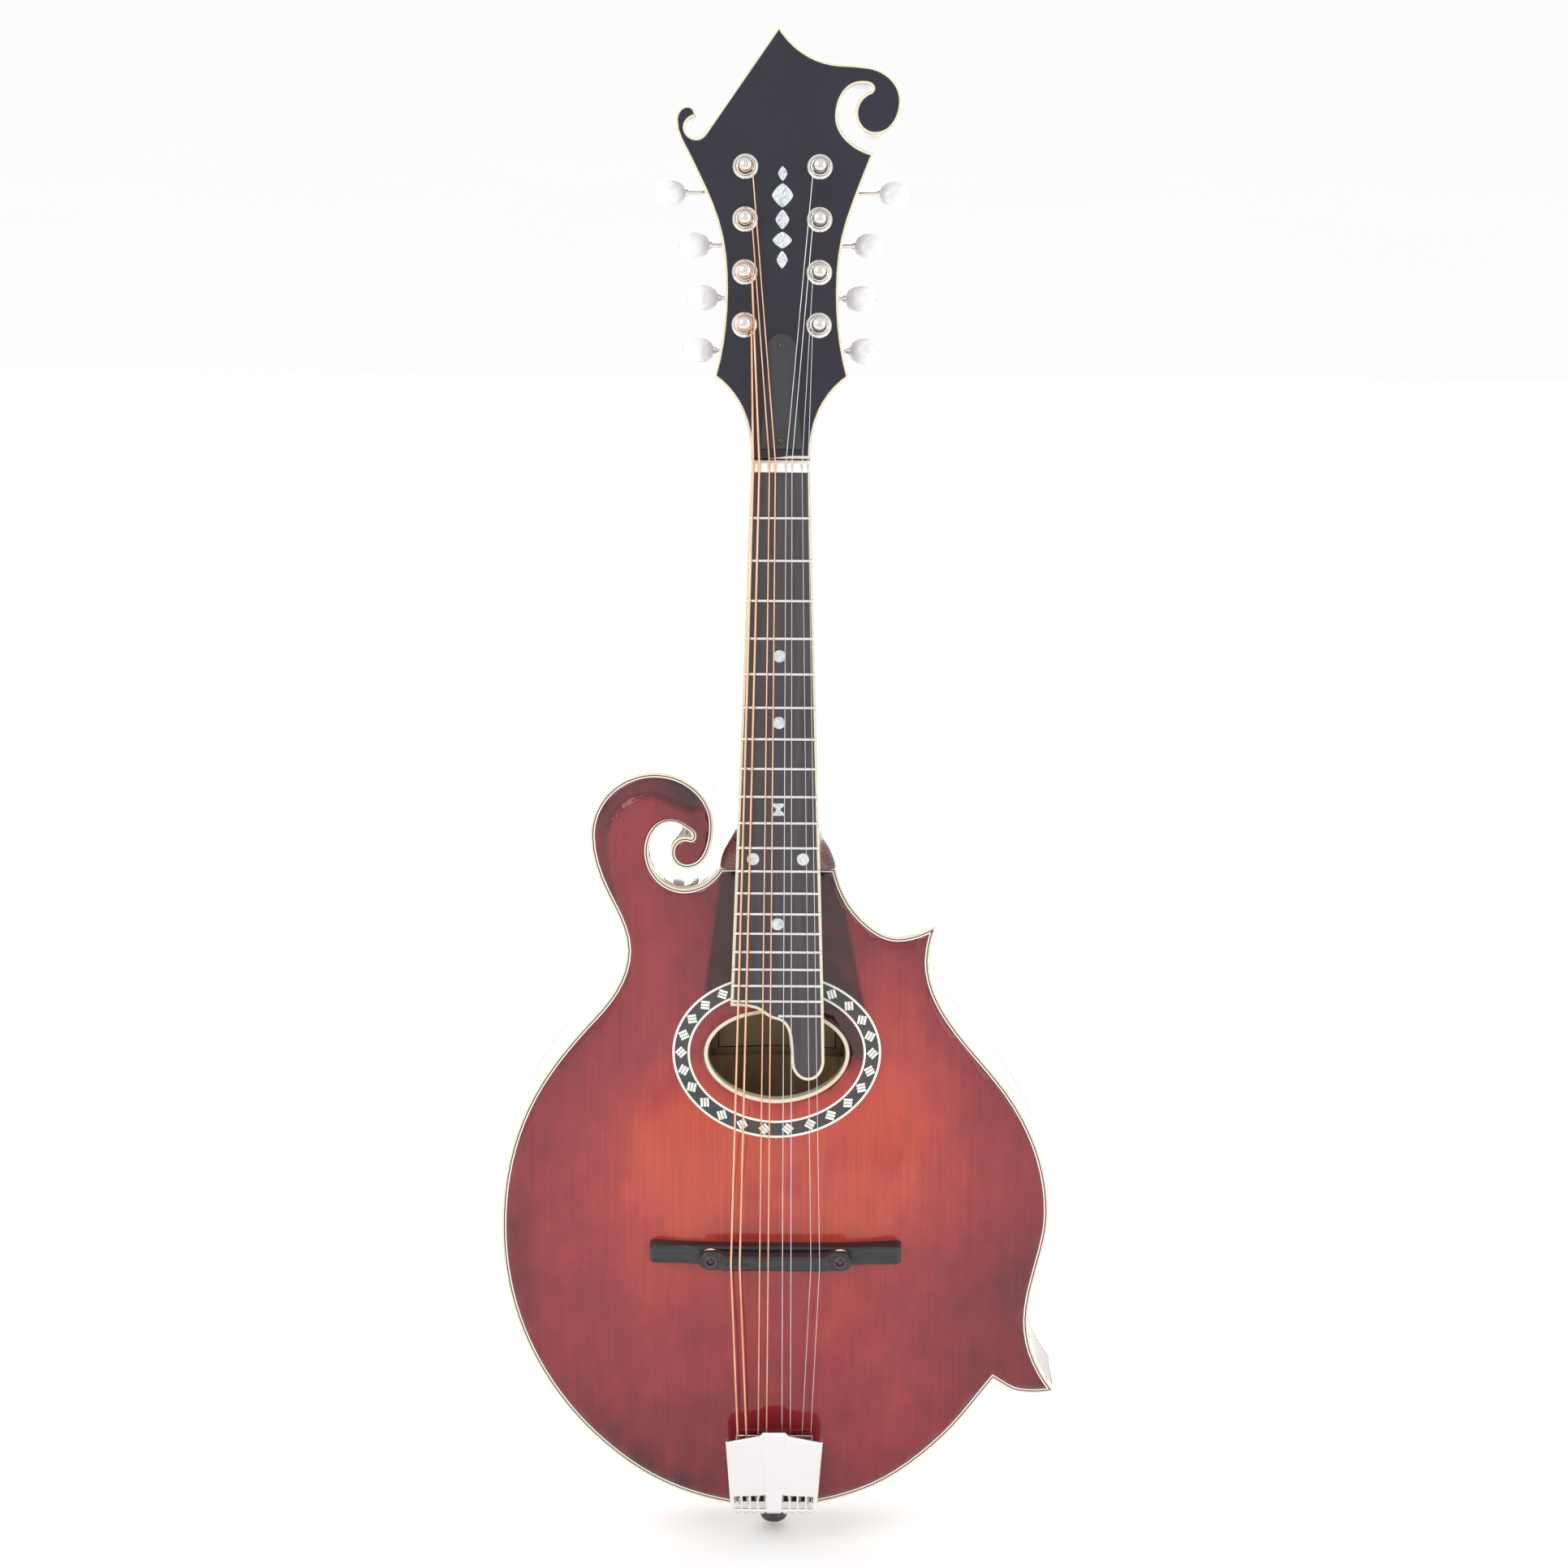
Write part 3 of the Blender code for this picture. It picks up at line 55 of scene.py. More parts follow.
# ---------------------------------------------------------------- sizes shared with the CAD
GAP = 0.3
BODY_DEPTH = 45.0
FRONT = -BODY_DEPTH / 2
BACK = BODY_DEPTH / 2
TAIL_Z = 16.0
PLATE_T = 4.6
TOP_ARCH = 14.0
BACK_ARCH = 13.0
ARCH_RUN = 100.0          # the arch has its full height this far from the edge
ARCH_FALL = 175.0         # and this far below the neck joint
TOP_START = 0.35          # share of the arch left at the joint
BACK_START = 0.6
RIB_T = 2.2
JOINT_Z = 323.0
SCALE = 352.4
NUT_Z = 500.0
NUT_RISE = 5.4
NECK_PITCH = radians(5.5)
HEAD_TILT = radians(16.0)
BOARD_T = 5.5
NECK_TOP = BOARD_T + GAP
NUT_HALF = 13.1
BOARD_GROW = 0.0317
FRETS = 20
NUT_L = 5.0
NUT_TOP = 1.6
NECK_T_NUT = 15.0
NECK_T_HEEL = 17.5
HEEL_TOP_Z = 366.0
HEEL_BACK = BACK - GAP
PLATE_HEAD_T = 2.4
HEAD_WOOD_T = 12.0
HEAD_BAND = 1.2
HEAD_DROP = 1.5
HEAD_START = 0.9
POST_X = 16.2
POST_FIRST = 58.0
POST_STEP = 23.0
POST_R = 3.0
POST_OUT = 9.0
STRING_UP = 5.4
GEAR_R = 5.9
GEAR_T = 3.0
WORM_R = 2.8
WORM_OFFSET = GEAR_R + GAP + WORM_R
WORM_L = 7.0
SHAFT_R = 1.1
TUNER_PLATE_T = 1.2
TUNER_PLATE_W = 17.0
PLATE_BACK = PLATE_HEAD_T + GAP + HEAD_WOOD_T + GAP
PLATE_REAR = PLATE_BACK + TUNER_PLATE_T
WORM_Y = PLATE_REAR + WORM_R + 0.35
BUTTON_L = 13.3
BUTTON_W = 12.2
BUTTON_T = 8.0
BUTTON_X = (36.2, 34.3, 38.2, 49.0)
HOLE_Z = 237.5
HOLE_A = 30.8
HOLE_B = 19.6
ROSE_A = 46.7
ROSE_B = 37.1
ROSE_W = 7.8
BRIDGE_Z = 146.73
STRING_Y = 53.9
BASE_HALF = 56.5
BASE_W = 12.0
BASE_T = 5.0
SADDLE_HALF = 34.0
SADDLE_W = 7.0
SADDLE_CROWN = 23.5
SADDLE_SHOULDER = 49.8
WHEEL_X = 29.0
WHEEL_R = 4.6
WHEEL_T = 1.8
STUD_R = 1.5
STUD_TOP = 49.4
BASE_TOP = FRONT - TOP_ARCH - 0.45 - BASE_T
WHEEL_Y = BASE_TOP - 1.5
SHEET = 1.2
COVER_TOP_Z = 60.0
COVER_LOW_Z = 17.5
COVER_TOP_HALF = 22.2
COVER_LOW_HALF = 19.6
COVER_TOP_Y = 39.0
COVER_LOW_Y = 32.5
TAIL_FACE = TAIL_Z - GAP
FLANGE_Y = 26.4
PIN_R = 6.3
HOOK_Z = 27.0
HOOK_Y = -FLANGE_Y - 1.9

# name, radius, place on nut, bridge and tailpiece, post row
STRINGS = (
    ("g_low", 0.50, -11.9, -19.8, -15.6, 0),
    ("g_high", 0.50, -9.3, -15.9, -11.6, 1),
    ("d_low", 0.33, -4.9, -7.0, -7.4, 2),
    ("d_high", 0.33, -2.3, -3.2, -3.6, 3),
    ("a_low", 0.20, 2.3, 3.2, 3.6, 3),
    ("a_high", 0.20, 4.9, 7.0, 7.4, 2),
    ("e_low", 0.14, 9.3, 15.9, 11.6, 1),
    ("e_high", 0.14, 11.9, 19.8, 15.6, 0),
)

BODY_LINE = (
    (0.0, 16.0, 180), (-67.0, 37.5, 143), (-117.0, 107.0, 108), (-124.0, 152.0, 90),
    (-112.5, 209.0, 66), (-81.5, 253.5, 48), (-67.2, 284.0, 90), (-76.5, 311.0, 115),
    (-83.2, 337.0, 90), (-54.5, 366.0, 0), (-28.6, 342.0, -90), (-40.5, 322.0, 180),
    (-47.8, 329.5, 90), (-41.2, 336.8, 0), (-38.8, 336.4, -15), (-38.3, 337.9, 105),
    (-40.3, 339.9, 145), (-47.3, 343.2, 180), (-57.3, 330.0, -90), (-41.5, 312.8, 0),
    (-25.7, JOINT_Z, 60, 0), (25.7, JOINT_Z, 0, -78), (37.5, 299.7, -45), (53.5, 291.0, 0),
    (71.0, 297.0, 32, -108), (67.7, 280.0, -90), (77.0, 253.0, -57), (104.0, 218.4, -55),
    (123.4, 160.0, -90), (118.5, 132.0, -103), (115.0, 109.0, -90), (128.0, 74.4, -52, 195),
    (112.0, 73.6, 172), (100.0, 79.7, 150, 232), (78.3, 51.9, 226), (39.2, 23.7, 201),
)
SCROLL_END = 13
JOINT_BASS = 20
JOINT_TREBLE = 21
UPPER_POINT = 24
LOWER_POINT = 31
NOTCH = 33

HEAD_LINE = (
    (-13.2, 0.0, 180, 90), (-17.3, 21.0, 115), (-29.5, 35.5, 145, 74), (-24.7, 73.0, 90),
    (-28.8, 103.5, 108), (-41.0, 131.0, 116), (-47.0, 147.0, 88), (-41.6, 153.6, 0),
    (-38.0, 151.0, -75), (-37.6, 148.6, -90, 190), (-42.3, 144.3, 265), (-37.6, 139.4, 0),
    (-33.9, 141.9, 56), (-2.0, 189.0, 56, -61), (11.6, 175.6, -28), (24.5, 172.0, -3),
    (37.4, 171.0, -10), (51.6, 156.0, -90), (40.0, 141.1, 180), (31.3, 150.5, 90),
    (37.6, 159.9, 22), (38.6, 161.6, 105), (34.2, 163.3, 180), (23.8, 149.0, -90),
    (33.0, 135.6, -30), (39.8, 133.0, -14, -112), (28.8, 103.5, -108), (24.7, 73.0, -90),
    (29.5, 35.5, -74, -145), (17.3, 21.0, -115), (13.2, 0.0, -90, 180),
)

# board end: x, distance from the nut, heading on arrival and, at a corner, on leaving
TONGUE = (
    (-20.6, 237.2, 180, 0), (-9.2, 238.4, 20), (-0.6, 243.2, 5), (5.6, 251.0, 82),
    (6.4, 262.0, 88), (14.0, 270.8, 0), (21.2, 262.0, -88),
)

# crest of the carved scroll: x, z and heading
CREST = (
    (-62.0, 290.0, 115), (-72.5, 319.0, 96), (-74.8, 336.0, 86), (-67.0, 351.0, 40),
    (-57.0, 354.5, 0), (-42.0, 349.0, -24), (-31.0, 349.5, 10),
)


# ---------------------------------------------------------------- outlines
def turned(a, b):
    return (b - a + 180.0) % 360.0 - 180.0


def heading(angle):
    return Vector((cos(radians(angle)), sin(radians(angle))))


def walk(knots, turn_step=6.0, len_step=7.0, closed=True):
    """Smooth line through the knots: points and, for each, its knot number plus fraction."""
    pts = []
    marks = []
    count = len(knots)
    for i in range(count if closed else count - 1):
        a = knots[i]
        b = knots[(i + 1) % count]
        head_a = a[3] if len(a) > 3 else a[2]
        head_b = b[2]
        p0 = Vector(a[:2])
        p3 = Vector(b[:2])
        chord = (p3 - p0).length
        along = degrees(atan2(p3.y - p0.y, p3.x - p0.x))
        bend = abs(turned(head_a, along)) + abs(turned(along, head_b))
        net = turned(head_a, along) + turned(along, head_b)
        reach = chord / (3.0 * cos(radians(net) / 4.0) ** 2)
        p1 = p0 + reach * heading(head_a)
        p2 = p3 - reach * heading(head_b)
        steps = max(1, ceil(bend / turn_step - 0.2), ceil(chord / len_step))
        for k in range(steps):
            t = k / steps
            u = 1.0 - t
            pts.append(u ** 3 * p0 + 3 * u * u * t * p1 + 3 * u * t * t * p2 + t ** 3 * p3)
            marks.append(i + t)
    if not closed:
        pts.append(Vector(knots[-1][:2]))
        marks.append(count - 1.0)
    return pts, marks


def inset(pts, dist):
    """Closed clockwise line moved inward, mitred at the corners."""
    out = []
    count = len(pts)
    for i in range(count):
        before = (pts[i] - pts[i - 1]).normalized()
        after = (pts[(i + 1) % count] - pts[i]).normalized()
        n1 = Vector((before.y, -before.x))
        n2 = Vector((after.y, -after.x))
        mid = (n1 + n2).normalized()
        out.append(pts[i] + mid * dist / max(mid.dot(n1), 0.3))
    return out


BODY, BODY_MARKS = walk(BODY_LINE)
HEAD, HEAD_MARKS = walk(HEAD_LINE, 7.0, 9.0)


def stretch(start, end):
    """Numbers of the body points between two knots, passing the tail when end < start."""
    if end > start:
        return [i for i, m in enumerate(BODY_MARKS) if start - 1e-6 <= m <= end + 1e-6]
    late = [i for i, m in enumerate(BODY_MARKS) if m >= start - 1e-6]
    return late + [i for i, m in enumerate(BODY_MARKS) if m <= end + 1e-6]


def distances(points, line, closed=True, skip=None):
    """Shortest distance from each point to a line of segments, and the side of its nearest segment that the point
    lies on.
    """
    a = np.array([tuple(p) for p in line])
    b = np.roll(a, -1, axis=0)
    if not closed:
        a, b = a[:-1], b[:-1]
    ab = b - a
    p = np.array([tuple(q) for q in points])
    ap = p[:, None, :] - a[None, :, :]
    t = np.clip((ap * ab).sum(2) / (ab * ab).sum(1), 0.0, 1.0)
    d = np.linalg.norm(ap - t[:, :, None] * ab, axis=2)
    if skip is not None:
        d[:, skip] = 1e9
    near = d.argmin(axis=1)
    side = ab[near, 0] * ap[np.arange(len(p)), near, 1] - ab[near, 1] * ap[np.arange(len(p)), near, 0]
    return d.min(axis=1), np.sign(side)


def inside(p, loop):
    hit = False
    j = len(loop) - 1
    for i, a in enumerate(loop):
        b = loop[j]
        if (a.y > p.y) != (b.y > p.y) and p.x < (b.x - a.x) * (p.y - a.y) / (b.y - a.y) + a.x:
            hit = not hit
        j = i
    return hit


def ease(t):
    t = max(0.0, min(1.0, t))
    return t * t * (3.0 - 2.0 * t)


JOINT_SEGMENTS = [i for i, m in enumerate(BODY_MARKS) if JOINT_BASS <= m < JOINT_TREBLE]


def edge_distances(points):
    return distances(points, BODY, skip=JOINT_SEGMENTS)[0]


def arch_from(d, z, full, start):
    rise = (1.0 - cos(pi * min(d / ARCH_RUN, 1.0))) / 2.0
    return full * rise * (start + (1.0 - start) * ease((JOINT_Z - z) / ARCH_FALL))


def arches(points, full, start):
    """Height of a carved plate above its edge at each point."""
    return [arch_from(d, p.y, full, start) for d, p in zip(edge_distances(points), points)]


def top_ys(points):
    return [FRONT - h for h in arches(points, TOP_ARCH, TOP_START)]


def top_y(x, z):
    return top_ys([Vector((x, z))])[0]


def board_y(z):
    return FRONT + NUT_RISE - tan(NECK_PITCH) * (NUT_Z - z)


def half_board(s):
    return NUT_HALF + BOARD_GROW * s


def ellipse(a, b, count, start=0.0):
    ring = []
    for k in range(count):
        t = start - tau * k / count
        ring.append(Vector((a * cos(t), HOLE_Z + b * sin(t))))
    return ring


# ---------------------------------------------------------------- local frames
WORLD = Matrix.Identity(4)


def tilted(y, z, angle):
    return Matrix.Translation(Vector((0.0, y, z)) * MM) @ Matrix.Rotation(-angle, 4, "X")


BOARD = tilted(FRONT + NUT_RISE, NUT_Z, NECK_PITCH)
HEADF = tilted(FRONT + NUT_RISE + HEAD_DROP, NUT_Z + NUT_L + HEAD_START, HEAD_TILT)
FACING = Matrix.Rotation(pi / 2, 4, "X")     # local Z turned to the playing side


def at(x, y, z):
    return Matrix.Translation(Vector((x, y, z)) * MM)


def even(value):
    return (value, value, value)


# ---------------------------------------------------------------- meshes
class Shape:
    """Collects faces, in millimetres, and makes one object of them."""

    def __init__(self):
        self.verts = []
        self.faces = []

    def add(self, verts, faces, move=None):
        start = len(self.verts)
        for v in verts:
            p = Vector(v) * MM
            self.verts.append(move @ p if move else p)
        self.faces += [tuple(start + i for i in f) for f in faces]
        return self

    def block(self, low, high, move=None):
        corners = [(x, y, z) for z in (low[2], high[2]) for y in (low[1], high[1])
                   for x in (low[0], high[0])]
        quads = ((0, 2, 3, 1), (4, 5, 7, 6), (0, 1, 5, 4), (2, 6, 7, 3), (0, 4, 6, 2), (1, 3, 7, 5))
        return self.add(corners, quads, move)

    def skin(self, rings, move=None, loop=False, caps=True, around=True):
        """Faces over rings of equal length; loop joins the last ring to the first."""
        size = len(rings[0])
        faces = []
        count = len(rings)
        for k in range(count if loop else count - 1):
            n = (k + 1) % count
            for j in range(size if around else size - 1):
                m = (j + 1) % size
                faces.append((k * size + j, k * size + m, n * size + m, n * size + j))
        if caps and not loop:
            faces.append(tuple(range(size)))
            faces.append(tuple((count - 1) * size + size - 1 - j for j in range(size)))
        return self.add([p for ring in rings for p in ring], faces, move)

    def lathe(self, profile, sides, move=None, loop=False):
        """Profile of radius and height spun about local Z."""
        rings = []
        for r, h in profile:
            rings.append([(r * cos(tau * k / sides), r * sin(tau * k / sides), h)
                          for k in range(sides)])
        return self.skin(rings, move, loop)

    def tube(self, points, radius, sides=8, move=None):
        """Round wire along points; radius is a number or one number for each point."""
        pts = [Vector(p) for p in points]
        rings = []
        up = None
        for i, p in enumerate(pts):
            way = (pts[min(i + 1, len(pts) - 1)] - pts[max(i - 1, 0)]).normalized()
            if up is None:
                up = way.orthogonal().normalized()
            up = (up - way * up.dot(way)).normalized()
            side = way.cross(up)
            r = radius[i] if isinstance(radius, (list, tuple)) else radius
            rings.append([p + r * (cos(tau * k / sides) * up
                                   + sin(tau * k / sides) * side) for k in range(sides)])
        return self.skin(rings, move)

    def plate(self, loop, y0, y1, move=None):
        """Sheet with a flat outline in the XZ plane."""
        return self.skin([[(p.x, y, p.y) for p in loop] for y in (y0, y1)], move)

    def make(self, name, mat, matrix=WORLD, soft=0.0, segments=2, smooth=35.0, sub=0):
        mesh = bpy.data.meshes.new(name)
        mesh.from_pydata(self.verts, [], self.faces)
        bm = bmesh.new()
        bm.from_mesh(mesh)
        bmesh.ops.remove_doubles(bm, verts=bm.verts, dist=1e-7)
        bmesh.ops.recalc_face_normals(bm, faces=bm.faces)
        bm.to_mesh(mesh)
        bm.free()
        mesh.shade_smooth()
        mesh.set_sharp_from_angle(angle=radians(smooth))
        mesh.materials.append(mat)
        obj = bpy.data.objects.new(name, mesh)
        bpy.context.scene.collection.objects.link(obj)
        obj.matrix_world = matrix
        if soft:
            bevel = obj.modifiers.new("soft", "BEVEL")
            bevel.width = soft * MM
            bevel.segments = segments
            bevel.limit_method = "ANGLE"
            bevel.angle_limit = radians(30.0)
        if sub:
            mod = obj.modifiers.new("smooth", "SUBSURF")
            mod.levels = sub
            mod.render_levels = sub
        return obj


def keep(obj, body, slot, *nodes):
    """The piece rides its body and stands for the CAD nodes; its slot is not used."""
    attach(obj, body)
    if nodes:
        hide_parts(*nodes)
    return obj


def thicken(obj, thickness, offset=-1.0):
    sheet = obj.modifiers.new("thickness", "SOLIDIFY")
    sheet.thickness = thickness * MM
    sheet.offset = offset
    return sheet


def cut_out(obj, cutter):
    """Takes the cutter's shape out of the object for good."""
    cut = obj.modifiers.new("cut", "BOOLEAN")
    cut.operation = "DIFFERENCE"
    cut.object = cutter
    bpy.context.view_layer.update()
    mesh = bpy.data.meshes.new_from_object(obj.evaluated_get(bpy.context.evaluated_depsgraph_get()))
    obj.modifiers.clear()
    obj.data = mesh
    bpy.data.objects.remove(cutter, do_unlink=True)


# ---------------------------------------------------------------- materials
class Look:
    """Small helper that wires one procedural material."""

    def __init__(self, name, rough=0.4, metal=0.0, coat=0.0, coat_rough=0.03, ior=1.5):
        self.mat = bpy.data.materials.new(name)
        self.mat.use_nodes = True
        self.tree = self.mat.node_tree
        self.bsdf = self.tree.nodes["Principled BSDF"]
        self.put("Roughness", rough)
        self.put("Metallic", metal)
        self.put("Coat Weight", coat)
        self.put("Coat Roughness", coat_rough)
        self.put("IOR", ior)

    def put(self, socket, value):
        self.into(self.bsdf.inputs[socket], value)

    def node(self, kind, **inputs):
        n = self.tree.nodes.new(kind)
        for key, value in inputs.items():
            self.into(n.inputs[key.replace("_", " ")], value)
        return n

    def into(self, socket, value):
        if hasattr(value, "is_output"):
            self.tree.links.new(value, socket)
        else:
            socket.default_value = value

    def place(self, scale):
        coord = self.node("ShaderNodeTexCoord")
        return self.node("ShaderNodeMapping", Vector=coord.outputs["Object"], Scale=scale).outputs[0]

    def noise(self, vector, scale=1.0, detail=3.0, rough=0.5, distort=0.0):
        return self.node("ShaderNodeTexNoise", Vector=vector, Scale=scale, Detail=detail,
                         Roughness=rough, Distortion=distort).outputs["Fac"]

    def wave(self, vector, scale=1.0, distort=2.0, detail=2.0, axis="X"):
        n = self.node("ShaderNodeTexWave", Vector=vector, Scale=scale, Distortion=distort, Detail=detail)
        n.bands_direction = axis
        return n.outputs["Fac"]

    def ramp(self, factor, *stops):
        n = self.node("ShaderNodeValToRGB", Fac=factor)
        items = n.color_ramp.elements
        items[0].position, items[0].color = stops[0][0], (*stops[0][1], 1.0)
        items[1].position, items[1].color = stops[-1][0], (*stops[-1][1], 1.0)
        for place, colour in stops[1:-1]:
            items.new(place).color = (*colour, 1.0)
        return n.outputs["Color"]

    def span(self, factor, low, high, start=0.0, end=1.0):
        return self.node("ShaderNodeMapRange", Value=factor, From_Min=start, From_Max=end, To_Min=low,
                         To_Max=high).outputs[0]

    def math(self, kind, a, b=0.0):
        n = self.tree.nodes.new("ShaderNodeMath")
        n.operation = kind
        self.into(n.inputs[0], a)
        self.into(n.inputs[1], b)
        return n.outputs[0]

    def mix(self, factor, a, b, kind="MIX"):
        n = self.tree.nodes.new("ShaderNodeMix")
        n.data_type = "RGBA"
        n.blend_type = kind
        self.into(n.inputs["Factor"], factor)
        self.into(n.inputs["A"], a if hasattr(a, "is_output") else (*a, 1.0))
        self.into(n.inputs["B"], b if hasattr(b, "is_output") else (*b, 1.0))
        return n.outputs["Result"]

    def shaded(self, colour, shade):
        """The colour multiplied by a grey value."""
        grey = self.node("ShaderNodeCombineColor", Red=shade, Green=shade, Blue=shade).outputs[0]
        return self.mix(1.0, colour, grey, "MULTIPLY")

    def attribute(self, name):
        n = self.tree.nodes.new("ShaderNodeAttribute")
        n.attribute_name = name
        return n.outputs["Fac"]

    def bump(self, height, strength, reach=0.0002):
        relief = self.node("ShaderNodeBump", Height=height, Strength=strength, Distance=reach)
        self.put("Normal", relief.outputs[0])


def top_look():
    look = Look("stained_spruce_gloss", 0.45, 0.0, 1.0, 0.025)
    look.put("Specular IOR Level", 0.12)
    # burst is the sunburst stain with painted dark reflections on the scroll's outer slope and beside the
    # fingerboard
    burst = look.attribute("burst")
    blotch = look.noise(look.place((16.0, 16.0, 10.0)), 1.0, 3.0, 0.55)
    mottle = look.noise(look.place((90.0, 90.0, 60.0)), 1.0, 2.0, 0.6)
    tone = look.math("ADD", burst, look.span(blotch, -0.20, 0.16, 0.3, 0.7))
    tone = look.math("ADD", tone, look.span(mottle, -0.09, 0.07, 0.3, 0.7))
    colour = look.ramp(tone, (0.0, (0.036, 0.002, 0.004)), (0.25, (0.150, 0.007, 0.014)),
                       (0.55, (0.250, 0.017, 0.022)), (0.8, (0.350, 0.032, 0.026)),
                       (1.0, (0.45, 0.054, 0.026)))
    lines = look.noise(look.place((1500.0, 200.0, 9.0)), 1.0, 2.0, 0.6)
    grain = look.wave(look.place((420.0, 1.0, 2.0)), 1.0, 3.0, 2.0)
    both = look.math("MULTIPLY", look.span(lines, 0.86, 1.10, 0.32, 0.68), look.span(grain, 0.96, 1.02))
    look.put("Base Color", look.shaded(colour, both))
    look.bump(lines, 0.05)
    return look.mat


def maple_look(name, dark, mid, light, scale=(30.0, 30.0, 190.0), grain=(500.0, 500.0, 12.0)):
    """Stained maple with flame across the grain under a clear coat."""
    look = Look(name, 0.45, 0.0, 1.0, 0.03)
    flame = look.wave(look.place(scale), 1.0, 5.0, 2.0, "Z")
    cloud = look.noise(look.place((16.0, 16.0, 12.0)), 1.0, 3.0)
    tone = look.math("ADD", look.span(flame, 0.2, 0.75), look.span(cloud, -0.25, 0.25, 0.3, 0.7))
    colour = look.ramp(tone, (0.0, dark), (0.55, mid), (1.0, light))
    fine = look.noise(look.place(grain), 1.0, 2.0)
    shade = look.span(fine, 0.82, 1.1, 0.3, 0.7)
    look.put("Base Color", look.shaded(colour, shade))
    look.bump(fine, 0.04)
    return look.mat


def plain_look(name, dark, light, rough, scale=even(60.0), metal=0.0, coat=0.0, bump=0.02,
               coat_rough=0.04, detail=4.0):
    """Two close colours mixed by noise, with uneven roughness and a slight bump."""
    look = Look(name, rough, metal, coat, coat_rough)
    cloud = look.noise(look.place(scale), 1.0, detail)
    look.put("Base Color", look.ramp(cloud, (0.3, dark), (0.7, light)))
    look.put("Roughness", look.span(cloud, rough * 0.85, rough * 1.15, 0.3, 0.7))
    if bump:
        look.bump(look.noise(look.place(tuple(6.0 * v for v in scale))), bump)
    return look.mat


def wound_look():
    look = Look("bronze_wound", 0.3, 1.0)
    turns = look.wave(look.place((1.0, 1.0, 3000.0)), 1.0, 0.0, 0.0, "Z")
    cloud = look.noise(look.place((200.0, 200.0, 30.0)))
    look.put("Base Color", look.ramp(cloud, (0.3, (0.80, 0.42, 0.24)), (0.7, (0.95, 0.60, 0.40))))
    look.bump(turns, 0.35, 0.0001)
    return look.mat


def shell_look(name, stops, scale, rough=0.16):
    """Mother of pearl or abalone: streaks of shifting colour under a polish."""
    look = Look(name, rough, 0.15, 1.0, 0.05)
    streak = look.noise(look.place(scale), 1.0, 4.0, 0.6, 1.6)
    facing = look.node("ShaderNodeLayerWeight", Blend=0.4).outputs["Facing"]
    tone = look.math("ADD", streak, look.span(facing, 0.0, 0.2))
    look.put("Base Color", look.ramp(tone, *stops))
    look.bump(streak, 0.04)
    return look.mat


def pearloid_look():
    look = Look("pearloid", 0.25, 0.0, 0.6, 0.08)
    swirl = look.noise(look.place(even(120.0)), 1.0, 3.0, 0.5, 2.2)
    look.put("Base Color", look.ramp(swirl, (0.3, (0.74, 0.74, 0.80)), (0.5, (0.86, 0.86, 0.90)),
                                     (0.72, (0.93, 0.93, 0.95))))
    look.put("Subsurface Weight", 0.15)
    look.put("Subsurface Radius", even(0.004))
    look.bump(swirl, 0.02)
    return look.mat


TOP_WOOD = top_look()
BACK_WOOD = maple_look("stained_maple_back", (0.060, 0.008, 0.006), (0.16, 0.022, 0.012),
                       (0.30, 0.055, 0.022))
RIB_WOOD = maple_look("stained_maple_ribs", (0.050, 0.007, 0.006), (0.13, 0.017, 0.010), (0.22, 0.036, 0.018),
                      (170.0, 30.0, 90.0), even(400.0))
NECK_WOOD = maple_look("stained_maple_neck", (0.042, 0.006, 0.006), (0.10, 0.012, 0.009), (0.17, 0.026, 0.014),
                       (25.0, 25.0, 170.0))
BARE = plain_look("bare_spruce", (0.42, 0.27, 0.13), (0.58, 0.39, 0.21), 0.7, (260.0, 260.0, 14.0), bump=0.08)
EBONY = plain_look("ebony_board", (0.034, 0.028, 0.033), (0.062, 0.053, 0.060), 0.42,
                   (420.0, 420.0, 22.0), bump=0.05)
BRIDGE_WOOD = plain_look("ebony_bridge", (0.012, 0.011, 0.013), (0.028, 0.026, 0.030), 0.34,
                         (22.0, 420.0, 420.0), 
                         bump=0.05)
LACQUER = plain_look("headplate_gloss", (0.010, 0.009, 0.018), (0.016, 0.014, 0.026), 0.3, even(40.0),
                     coat=0.6, bump=0.0)
LACQUER.node_tree.nodes["Principled BSDF"].inputs["Specular IOR Level"].default_value = 0.15
SATIN_BLACK = plain_look("satin_black", (0.022, 0.021, 0.025), (0.034, 0.032, 0.038), 0.5, even(120.0))
PIN_BLACK = plain_look("pin_black", even(0.012), even(0.024), 0.3, even(90.0), coat=0.5)
IVORY = plain_look("ivoroid", (0.66, 0.60, 0.44), (0.74, 0.68, 0.52), 0.35, (50.0, 50.0, 400.0), coat=0.8)
WHITE_LINE = plain_look("white_line", (0.78, 0.74, 0.66), (0.88, 0.85, 0.78), 0.4, even(90.0), coat=0.8)
BLACK_LINE = plain_look("black_line", even(0.010), (0.022, 0.021, 0.020), 0.4, even(90.0), coat=0.8)
BONE = plain_look("bone_nut", (0.83, 0.80, 0.72), (0.92, 0.90, 0.84), 0.45, (180.0, 60.0, 180.0))
NICKEL = plain_look("polished_nickel", (0.66, 0.63, 0.59), (0.80, 0.77, 0.72), 0.11, even(70.0), 1.0,
                    bump=0.01)
SATIN = plain_look("satin_nickel", (0.84, 0.83, 0.83), (0.88, 0.87, 0.87), 0.45, even(20.0), 0.85, bump=0.01)
STEEL = plain_look("plain_string", (0.60, 0.60, 0.62), (0.78, 0.78, 0.80), 0.25, (300.0, 300.0, 40.0),
                   1.0, bump=0.0)
FRET = plain_look("fret_wire", (0.70, 0.69, 0.66), (0.84, 0.83, 0.80), 0.2, (90.0, 300.0, 300.0), 1.0)
